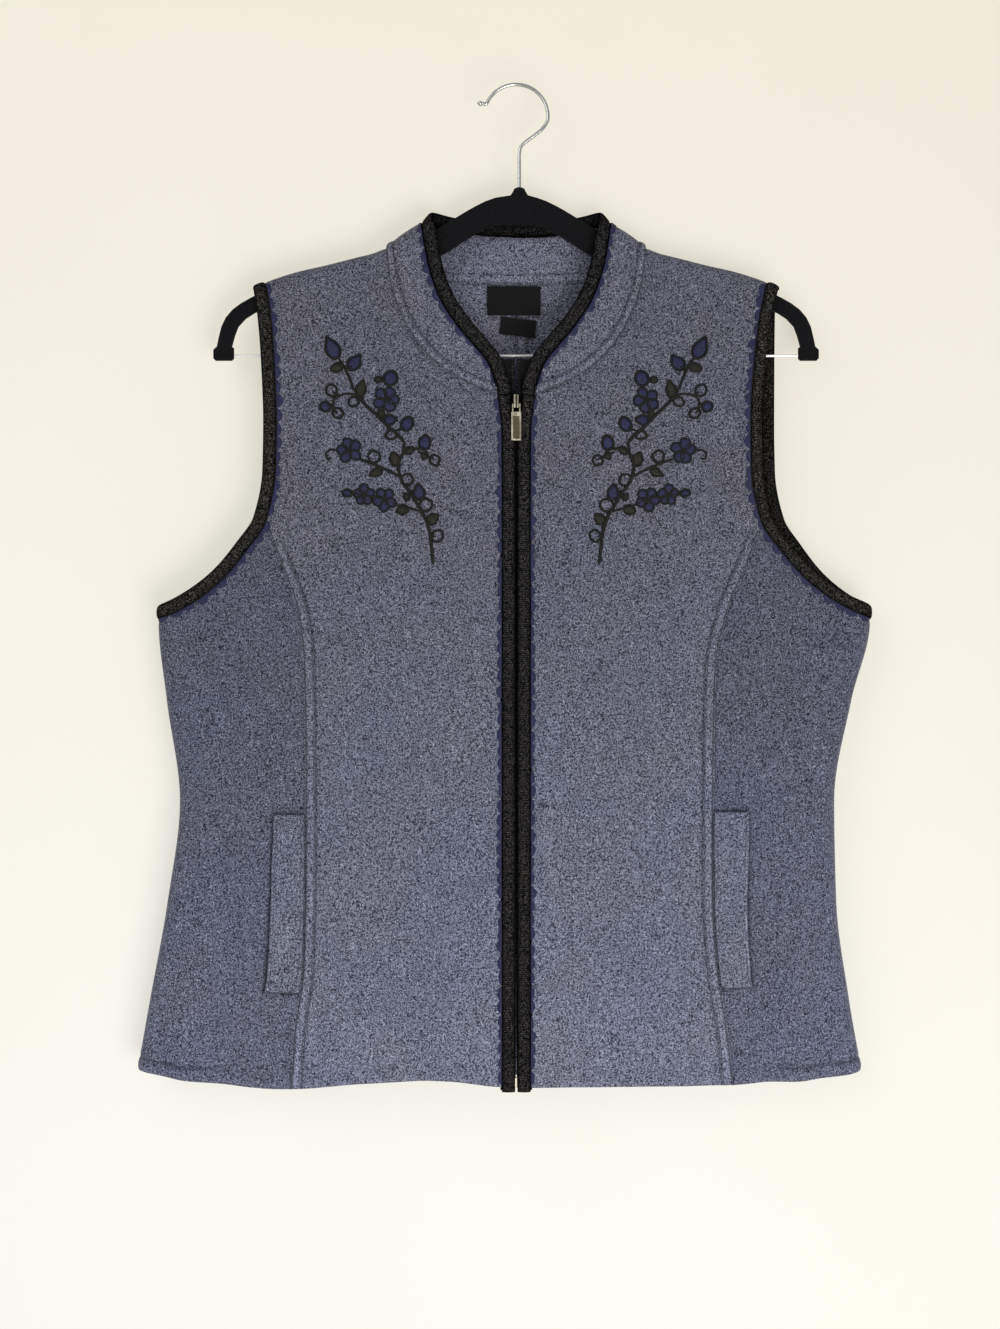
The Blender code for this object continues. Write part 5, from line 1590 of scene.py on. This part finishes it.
def satin_pad(sign, at, shape):
    """A dome of satin stitch on the cloth, with its underside sunk into the wool."""
    disk = unit_disk(11)
    reach = np.minimum(np.linalg.norm(disk, axis=-1), 1)
    uneven = 1 + 0.03 * random.normal(size=reach.shape) * (reach > 0.9)
    flat = (np.array(at) + leaf_shape(disk, *shape) * uneven[..., None]) * MM * (sign, 1)
    surface, normal = on_cloth(flat, "front")
    dome = PAD_HIGH * np.sqrt(np.clip(1 - reach**2 * 0.97, 0, 1))
    top = surface + normal * dome[..., None]
    low = surface - normal * PAD_SUNK
    uv = (disk * np.array(shape[:2]) / 2 * MM).reshape(-1, 2)
    points = np.concatenate([top.reshape(-1, 3), low.reshape(-1, 3)])
    return points, outward(points, two_sided(numbered(*reach.shape))), np.concatenate([uv, uv])


def thread_cord(sign, line, half, closed=False, over=0.0002):
    """A flattened cord: half an ellipse standing on the cloth along a flat line (in mm)."""
    angle = np.linspace(-0.25, pi + 0.25, 8)
    run, ahead = distances(line), tangents(line, closed)
    end = np.minimum(run, run[-1] - run)
    narrow = 1 if closed else np.sqrt(np.clip(end / (2.5 * half / MM), 0.06, 1))
    width = np.full(len(line), half) * narrow
    width = width * (1 + 0.07 * random.normal(size=len(line)))
    aside = unit(np.stack([-ahead[:, 1], ahead[:, 0]], axis=-1))
    flat = line[:, None] * MM + aside[:, None] * (np.cos(angle)[None] * width[:, None])[..., None]
    surface, normal = on_cloth(flat * (sign, 1), "front")
    lift = (over + 0.95 * width[:, None]) * np.sin(angle)[None]
    points = surface + normal * lift[..., None]
    index = np.pad(numbered(*points.shape[:2]), ((0, int(closed)), (0, 1)), mode="wrap")
    uv = flat_points(run[:, None] * MM * 0.7, angle[None] * half)
    points = points.reshape(-1, 3)
    return points, outward(points, quads_of(index)), uv.reshape(-1, 2)


def outlined(sign, at, shape, kind):
    """A thread cord round a leaf shape, drawn a little unsteadily."""
    angle = np.linspace(0, 2 * pi, 30)[:-1]
    line = leaf_shape(np.stack([np.cos(angle), np.sin(angle)], axis=-1), *shape) + np.array(at)
    line = line + UNSTEADY * random.normal(size=line.shape)
    return thread_cord(sign, line, OUTLINE_HALF[kind], closed=True, over=0.0004)


def spray(side, sign):
    """Navy pads, olive pads, and black stems, outlines and eyes: one piece of each thread."""
    threads = {"navy": [], "black": [], "olive": []}
    black = threads["black"]
    for half, points in STEMS:
        rows = np.array(points, float)
        line = path(rows, np.linspace(0, 1, int(distances(rows)[-1] / 0.9)))
        black.append(thread_cord(sign, line, half * STEM_SHARE * MM))
    for across, height, petals, radius, turn in FLOWERS:
        for k in range(petals):
            way = turn + 360 * k / petals + 7 * random.normal()
            at = np.array((across, height)) + 0.55 * radius * direction(way)
            shape = (radius * 0.86, radius * random.uniform(0.70, 0.80), -0.10, way)
            threads["navy"].append(satin_pad(sign, at, shape))
            black.append(outlined(sign, at, shape, "petal"))
        black.append(satin_pad(sign, (across, height), (radius * 0.34, radius * 0.34, 0, 0)))
    for kind, rows in FILLED.items():
        (long, wide), share = PAD_SHARE[kind], OUTLINE_SHARE[kind]
        for *at, length, width, pinch, turn in rows:
            threads[kind].append(satin_pad(sign, at, (length * long, width * wide, pinch, turn)))
            black.append(outlined(sign, at, (length * share, width * share, pinch, turn), kind))
    for across, height, *shape in LOOPS:
        black.append(outlined(sign, (across, height), shape, "loop"))
    materials = {"navy": navy_thread, "black": black_thread, "olive": olive_thread}
    return [joined(f"spray_{name}_{side}", parts, materials[name]) for name, parts in threads.items()]


sprays = [dress(piece, None) for side, sign in SIDES for piece in spray(side, sign)]
print("sprays:", {piece.name: len(piece.data.polygons) for piece in sprays})

# %% [markdown]
# ## Zip, labels and metal
#
# The zip's teeth sit on the thick edges of its two tapes, one side half a pitch above
# the other. Only glimpses of them show between the bindings.

# %% Zip teeth
TOOTH_PITCH, TOOTH_LONG = 0.0026, 0.0026
TOOTH_HALF = (0.00055, 0.0009)  # half heights of a tooth at the tape and at its head
CHAIN_RADIUS = 0.0011  # half thickness of the zip tapes' toothed edge
ZIP_FACE = float(drape(np.array([0.0, -0.2399]), "front")[1])  # the cloth's depth at the slider
CUBE = np.array([[0, 2, 3, 1], [4, 5, 7, 6], [0, 1, 5, 4], [2, 6, 7, 3], [0, 4, 6, 2], [1, 3, 7, 5]])


def zip_teeth(side, sign):
    """A tapered block for each tooth, all corners of all teeth in one array."""
    height = np.arange(CHAIN_EDGE[0][0] + 0.002, -0.2070, TOOTH_PITCH)
    height = height + (TOOTH_PITCH / 2 if sign > 0 else 0)
    x, y, z = (part.ravel() for part in np.meshgrid((0, 1), (-1, 1), (-1, 1), indexing="ij"))
    across = column(CHAIN_EDGE, 1, height)[:, None] + np.where(x > 0, TOOTH_LONG, 0.00004)
    flat = flat_points(sign * across, height[:, None] + z * np.take(TOOTH_HALF, x))
    normal = drape_normal(flat, "front")
    depth = BINDING_THICK / 2 + GAP + CHAIN_RADIUS - y * 0.00135
    points = (drape(flat, "front") - normal * depth[:, None]).reshape(-1, 3)
    quads = repeated(outward(points[:8], CUBE), len(height), 8)
    return mesh_piece(f"zip_teeth_{side}", points, quads, tooth_metal, closed=False)


def metal(name, color, roughness, worn, metallic=1.0):
    """Metal whose colour and polish wander a little, as on a piece that is handled."""
    material, tree, shader = new_material(name, roughness, metallic=metallic)
    share = ramp(tree, noise(tree, 420.0, detail=3.0), 0.35, 0.7)
    tree.links.new(mix_color(tree, share, color, worn), shader.inputs["Base Color"])
    tree.links.new(plus(tree, times(tree, share, 0.12), roughness), shader.inputs["Roughness"])
    return material


tooth_metal = metal("dark oxidised metal", (0.02, 0.02, 0.02), 0.45, (0.07, 0.065, 0.055))
brass = metal("antique brass", (0.34, 0.30, 0.22), 0.30, (0.66, 0.61, 0.49))
chrome = metal("polished steel", (0.50, 0.51, 0.50), 0.16, (0.64, 0.65, 0.64))
inlay = metal("darkened brass", (0.045, 0.034, 0.013), 0.55, (0.085, 0.066, 0.028), 0.2)
teeth = [dress(zip_teeth(side, sign), None) for side, sign in SIDES]


# %% Woven tape and label
def woven(name, dark, light, pitch, roughness):
    """A plain weave: the product of two sines, one across and one up the cloth."""
    material, tree, shader = new_material(name, roughness, specular=0.15)
    weave = times(tree, wave(tree, axis(tree, "X"), pitch), wave(tree, axis(tree, "Z"), pitch))
    color = mix_color(tree, ramp(tree, weave, -1, 1), dark, light)
    tree.links.new(color, shader.inputs["Base Color"])
    bump(tree, shader, weave, 0.4, 0.0002)
    return material


def finish_node(name, material):
    """Gives a carried-over solid its finish; its shape stays as it is."""
    solid = bpy.data.objects[name]
    for slot in solid.material_slots:
        slot.material = material
    if not solid.material_slots:
        solid.data.materials.append(material)


def slider_finish():
    """Brass on the crown that stands forward; near black on the plates behind it and beside it."""
    material = brass.copy()
    material.name = "antique brass, slider"
    tree = material.node_tree
    shader = tree.nodes["Principled BSDF"]
    behind = ramp(tree, axis(tree, "Y"), ZIP_FACE - 0.0004, ZIP_FACE + 0.0002)
    aside = math_node(tree, "ABSOLUTE", axis(tree, "X"))
    behind = math_node(tree, "MAXIMUM", behind, ramp(tree, aside, 0.0007, 0.0003))
    color = shader.inputs["Base Color"].links[0].from_socket
    tree.links.new(mix_color(tree, behind, color, (0.008, 0.008, 0.008)), shader.inputs["Base Color"])
    return material


TAB_FACE = ZIP_FACE - 0.00502  # the floor of the recess in the pull tab
PANEL_HALF, PANEL_LOW, PANEL_HIGH = 0.00235, -0.26435, -0.24795
RIBS_HIGH = 0.00006
EYE_RADIUS, EYE_HEIGHT = 0.0009, -0.2463


def pull_inlay():
    """The dark panel in the tab's recess, ribbed across, and the dark eye above it."""
    u, v = np.meshgrid(np.linspace(-1, 1, 9), np.linspace(0, 1, 67))
    ribs_out = RIBS_HIGH * np.abs(np.sin(v * 22 * pi)) * (1 - u**4)
    height = PANEL_LOW + (PANEL_HIGH - PANEL_LOW) * v
    points = np.stack([u * PANEL_HALF, TAB_FACE - ribs_out, height], axis=-1)
    panel = mesh_piece("pull_panel", points, quads_of(numbered(67, 9)), inlay, closed=False)
    disk = unit_disk(7)
    front = TAB_FACE - 0.00026 - 0.00004 * (1 - (disk**2).sum(axis=-1))
    disk = disk * EYE_RADIUS
    points = np.stack([disk[..., 0], front, disk[..., 1] + EYE_HEIGHT], axis=-1)
    return panel, mesh_piece("pull_eye", points, quads_of(numbered(7, 7)), tooth_metal, closed=False)


tape_weave = woven("black zip tape", (0.003, 0.003, 0.003), (0.010, 0.010, 0.011), 0.0009, 0.85)
label_weave = woven("black woven label", (0.002, 0.002, 0.002), (0.006, 0.006, 0.0065), 0.0005, 0.6)
for name, material in (
    ("zip_tape_right", tape_weave),
    ("zip_tape_left", tape_weave),
    ("neck_label", label_weave),
    ("care_label", label_weave),
    ("zip_pull", brass),
    ("zip_retainer", brass),
    ("zip_slider", slider_finish()),
):
    finish_node(name, material)
for piece in pull_inlay():
    dress(piece, None, "pull")
print("teeth:", sum(len(piece.data.polygons) for piece in teeth) // 6)

# %% [markdown]
# ## The hanger
#
# The hanger is moulded in one piece and flocked, so it looks like velvet: dark
# when seen straight on, with a pale bloom where the surface turns away. Its steel
# hook is a round wire swept along the same bends as the solid's, only finer.

# %% Hanger
HANGER_DOME = (0.0045, 0.0064, -0.0772)  # half widths at its top and base, top height
WIRE, HOOK_RADIUS, STEM_DEPTH, STEM_CLEAR = 0.0014, 0.0235, 0.0150, 0.0003
STEM_AT = 0.0024
HOOK_ARC = (-4, 151)  # degrees from level, of the bend's start and end
HOOK_TAIL = ((-0.0016, -0.0022), (-0.0042, -0.0020))  # from the bend's end to the ball
BALL = 0.0021  # radius
HOOK_NECK = (  # the wire's way from the top of the stem up to the bend: across, height
    (STEM_AT, -0.0640), (STEM_AT, -0.0535), (0.003, -0.0486), (0.0051, -0.0454), (0.0092, -0.0421),
    (0.0143, -0.0383), (0.019, -0.0344), (0.0222, -0.0301),
)


def velvet():
    """Near-black flock; the pale bloom where it turns away is the shader's own sheen."""
    material, tree, shader = new_material("black flock", 0.95, sheen=0.07, specular=0.05)
    shader.inputs["Sheen Tint"].default_value = rgba(0.30, 0.30, 0.32)
    grain = noise(tree, 1600.0)
    share = ramp(tree, grain, 0.3, 0.75)
    color = mix_color(tree, share, (0.0025, 0.0025, 0.003), (0.014, 0.014, 0.016))
    tree.links.new(color, shader.inputs["Base Color"])
    bump(tree, shader, grain, 0.6, 0.0004)
    return material


def wire_hook():
    """A tube: at each point of the wire's path, a ring of radius r across its direction."""
    centre = -HOOK_RADIUS - WIRE
    foot = [(STEM_AT, HANGER_DOME[2] - STEM_DEPTH + STEM_CLEAR), *HOOK_NECK]
    turn = np.radians(np.linspace(*HOOK_ARC, 40))
    round_part = np.stack([HOOK_RADIUS * np.cos(turn), centre + HOOK_RADIUS * np.sin(turn)], axis=-1)
    rows = np.concatenate([foot, round_part, round_part[-1] + HOOK_TAIL])
    line = path(rows, np.linspace(0, 1, 260))
    ahead = unit(np.gradient(line, axis=0))
    radius = np.full(len(line), WIRE)
    swell = np.linspace(0, 1, 14)[1:]
    line = np.concatenate([line, line[-1] + ahead[-1] * 2 * BALL * swell[:, None]])
    radius = np.append(radius, np.maximum(BALL * np.sin(pi * (0.23 + 0.765 * swell)), 0.00002))
    radius[0] = 0.00005
    ahead = unit(np.gradient(line, axis=0))
    aside = np.stack([-ahead[:, 1], ahead[:, 0]], axis=-1)
    angle = np.linspace(0, 2 * pi, 17)
    flat = line[:, None] + aside[:, None] * (np.cos(angle)[None, :, None] * radius[:, None, None])
    depth = np.sin(angle)[None] * radius[:, None]
    points = np.stack([flat[..., 0], depth, flat[..., 1]], axis=-1)
    return mesh_piece("wire_hook", points, quads_of(numbered(len(line), 17)), chrome)


finish_node("hanger_body", velvet())
finish_node("hanger_bar", metal("bright steel", (0.80, 0.80, 0.80), 0.34, (0.90, 0.90, 0.90), 0.55))
dress(wire_hook(), "hanger_hook")
print("hanger finished")

# %% [markdown]
# ## Loose wool fibres
#
# Boiled wool always carries a haze of loose fibres, which softens its outline. Each
# fibre is a bent blade of two faces, a millimetre long, standing on a random point of
# the cloth. All the fibres of a panel are made at once and joined to one mesh.

# %% Fibres
FIBRES = {"front": 9000, "side_front": 4200, "back": 10000}
FIBRE_LENGTH, FIBRE_HALF = (0.0007, 0.0016), 0.000028
BLADE = np.array([[0, 1, 3, 2], [2, 3, 5, 4]])


def fibres(kind, side, grid):
    """Random cells of a panel's flat grid, picked by area, each with a bent blade."""
    face = "back" if kind == "back" else "front"
    corner = grid[:-1, :-1]
    right, up = grid[:-1, 1:] - corner, grid[1:, :-1] - corner
    area = np.abs(right[..., 0] * up[..., 1] - right[..., 1] * up[..., 0]).ravel()
    count = FIBRES[kind]
    cell = random.choice(area.size, count, p=area / area.sum())
    u, v = random.uniform(size=(2, count, 1))
    flat = corner.reshape(-1, 2)[cell] + right.reshape(-1, 2)[cell] * u + up.reshape(-1, 2)[cell] * v
    root, normal = on_cloth(flat, face)
    length = random.uniform(*FIBRE_LENGTH, size=(count, 1))
    lean = random.normal(size=(count, 3)) * (0.75, 0.25, 0.75)
    way = unit(normal + lean)
    way = way + normal * np.maximum(0.12 - np.sum(way * normal, axis=1, keepdims=True), 0)
    droop = random.normal(size=(count, 3)) * 0.45
    aside = unit(np.cross(way, random.normal(size=(count, 3)))) * FIBRE_HALF
    mid = root + way * length * 0.5
    tip = mid + unit(way + droop) * length * 0.5
    root = root - normal * 0.0003
    ends = [root - aside, root + aside, mid - aside, mid + aside, tip - aside * 0.3, tip + aside * 0.3]
    points, quads = np.stack(ends, axis=1), repeated(BLADE, count, 6)
    return mesh_piece(f"fibres_{kind}_{side}", points, quads, fibre_finish, closed=False)


fibre_colors = (0.030, 0.030, 0.042), (0.20, 0.205, 0.26), (0.34, 0.34, 0.40)
fibre_finish = heather_material("loose wool fibre", *fibre_colors, (240.0, 700.0, 0.15, 0.1))
for (kind, side), grid in grids.items():
    dress(fibres(kind, side, grid), None)
print("loose fibres:", FIBRES)

# %% [markdown]
# ## Flat sizes
#
# Every piece of cloth here was cut flat before it was sewn and hung, so each one is
# declared with the size of its cut.

# %% Flat sizes
TRIM_CUT = 0.0250  # once round the folded trim


def flat_cut(flat):
    """Width and length of the box round a flat grid, and the sum of its cells' areas."""
    one, other = flat[1:, 1:] - flat[:-1, :-1], flat[1:, :-1] - flat[:-1, 1:]
    area = np.abs(one[..., 0] * other[..., 1] - one[..., 1] * other[..., 0]).sum() / 2
    width, length = np.ptp(flat.reshape(-1, 2), axis=0)
    return (width, length), min(area, width * length)


def trim_length(piece):
    """Length of a binding: its points, averaged round each section, give its middle line."""
    points = np.array([v.co[:] for v in piece.data.vertices]).reshape(-1, STRIP_SIDES + 1, 3)
    return distances(points.mean(axis=1))[-1]


def declare(piece, flat, held):
    print(f"{piece.name}: cut {flat[0] * 1000:.0f} x {flat[1] * 1000:.0f} mm, {held}")


for (kind, side), piece in panels.items():
    flat, area = flat_cut(grids[kind, side])
    extra = [f"fibres_{kind}_{side}"]
    if kind == "front":
        extra += [f"spray_{name}_{side}" for name in ("navy", "black", "olive")]
    declare(piece, flat, "hung")
long = (distances(NECK_SEAM)[-1] + distances(NECK_EDGE)[-1]) / 2
area = COLLAR_TALL.mean() * long
declare(collar, (COLLAR_TALL.max(), long), "hung")
for piece in bindings:
    on = [collar] if piece is bindings[0] else list(panels.values())
    declare(piece, (TRIM_CUT, trim_length(piece)), "folded")
for piece, side in zip(welts, ("right", "left")):
    top, bottom, wide_top, wide_bottom = WELTS[side]
    area = (wide_top + wide_bottom) / 2 * (top - bottom)
    declare(piece, (max(wide_top, wide_bottom), top - bottom), "folded")
for name, wide, long, on in (
    ("zip_tape_right", 0.0145, 0.522, bindings[1]),
    ("zip_tape_left", 0.0145, 0.522, bindings[3]),
    ("neck_label", 0.040, 0.0215, collar),
    ("care_label", 0.0275, 0.0145, "neck_label"),
):
    declare(bpy.data.objects[name], (wide, long), "hung")

# %% [markdown]
# ## Backdrop and light
#
# A hanging thing needs a wall close behind it to catch its soft shadow. The wall lets
# light and sight through from behind, so that the vest can also be looked at from the
# back. One large soft lamp stands low on the right, in front, and weaker ones fill the
# left and light the back.

# %% Backdrop
WALL_AT = 0.0285  # behind the hanger's middle


def backdrop_finish():
    """Painted light: the wall mostly glows, whiter and brighter towards the bottom and darker towards the
    right, over a dim paint, and is clear from behind.
    """
    material, tree, shader = new_material("wall with painted light", 0.9, specular=0.2)
    blends = (
        (ramp(tree, axis(tree, "Z"), 0.05, -0.85), (0.860, 0.815, 0.680), (0.925, 0.925, 0.870)),
        (ramp(tree, noise(tree, 5.0, detail=6.0), 0.3, 0.7), (0.975, 0.97, 0.96), (1, 1, 1)),
        (ramp(tree, axis(tree, "X"), 0.1, 0.6), (1, 1, 1), (0.91, 0.90, 0.88)),
    )
    upright, patchy, aside = (mix_color(tree, *blend) for blend in blends)
    color = multiplied(tree, multiplied(tree, upright, patchy), aside)
    # Painted light: the wall glows with this colour, though it is no lamp.
    tree.links.new(color, shader.inputs["Emission Color"])
    shader.inputs["Emission Strength"].default_value = 0.62
    shader.inputs["Base Color"].default_value = rgba(0.36, 0.345, 0.315)
    clear = node(tree, "ShaderNodeBsdfTransparent")
    behind = node(tree, "ShaderNodeNewGeometry").outputs["Backfacing"]
    both = node(tree, "ShaderNodeMixShader", {0: behind})
    tree.links.new(shader.outputs[0], both.inputs[1])
    tree.links.new(clear.outputs[0], both.inputs[2])
    tree.links.new(both.outputs[0], tree.nodes["Material Output"].inputs["Surface"])
    return material


REACH, FLOOR_AT, CEILING_AT = 3.0, -2.2, 1.6
CORNERS = np.array([[0, 1, 2, 3]])
left, right = -REACH, REACH
wall_corners = [(left, FLOOR_AT), (right, FLOOR_AT), (right, CEILING_AT), (left, CEILING_AT)]
wall_corners = [(x, WALL_AT, z) for x, z in wall_corners]
floor_corners = [(left, WALL_AT), (left, -REACH), (right, -REACH), (right, WALL_AT)]
floor_corners = [(x, y, FLOOR_AT) for x, y in floor_corners]
backdrop = mesh_piece("backdrop", wall_corners, CORNERS, backdrop_finish(), closed=False)
backdrop.visible_shadow = False
floor_finish, _, floor_shader = new_material("pale floor", 0.9, specular=0.2)
floor_shader.inputs["Base Color"].default_value = rgba(0.83, 0.82, 0.78)
floor = mesh_piece("floor", floor_corners, CORNERS, floor_finish, closed=False)


# %% Lamps
def lamp(name, place, toward, size, power, color=(1.0, 1.0, 1.0)):
    """A square area lamp, turned so that its -Z axis points at the target."""
    light = bpy.data.lights.new(name, "AREA")
    light.shape, light.size, light.energy, light.color = "SQUARE", size, power, color
    made = bpy.data.objects.new(name, light)
    bpy.context.scene.collection.objects.link(made)
    x, y, z = np.array(toward) - np.array(place)
    made.location = place
    made.rotation_euler = (np.arccos(-z / np.sqrt(x * x + y * y + z * z)), 0, np.arctan2(y, x) - pi / 2)


CHEST = (0.0, 0.0, -0.40)
lamp("window", (0.55, -1.75, -1.15), CHEST, 1.0, 24, (1.0, 0.985, 0.96))
lamp("room", (-1.2, -1.9, 0.45), CHEST, 1.6, 14, (0.97, 0.985, 1.0))
lamp("behind high", (-1.1, 1.8, 0.7), CHEST, 1.2, 26)
lamp("behind low", (1.5, 1.6, -0.9), CHEST, 1.4, 14)
world = bpy.data.worlds.new("daylight")
world.use_nodes = True
daylight = world.node_tree.nodes["Background"].inputs
daylight["Color"].default_value = rgba(0.98, 0.985, 1.0)
daylight["Strength"].default_value = 0.42
bpy.context.scene.world = world
bpy.context.scene.view_settings.view_transform = "Standard"
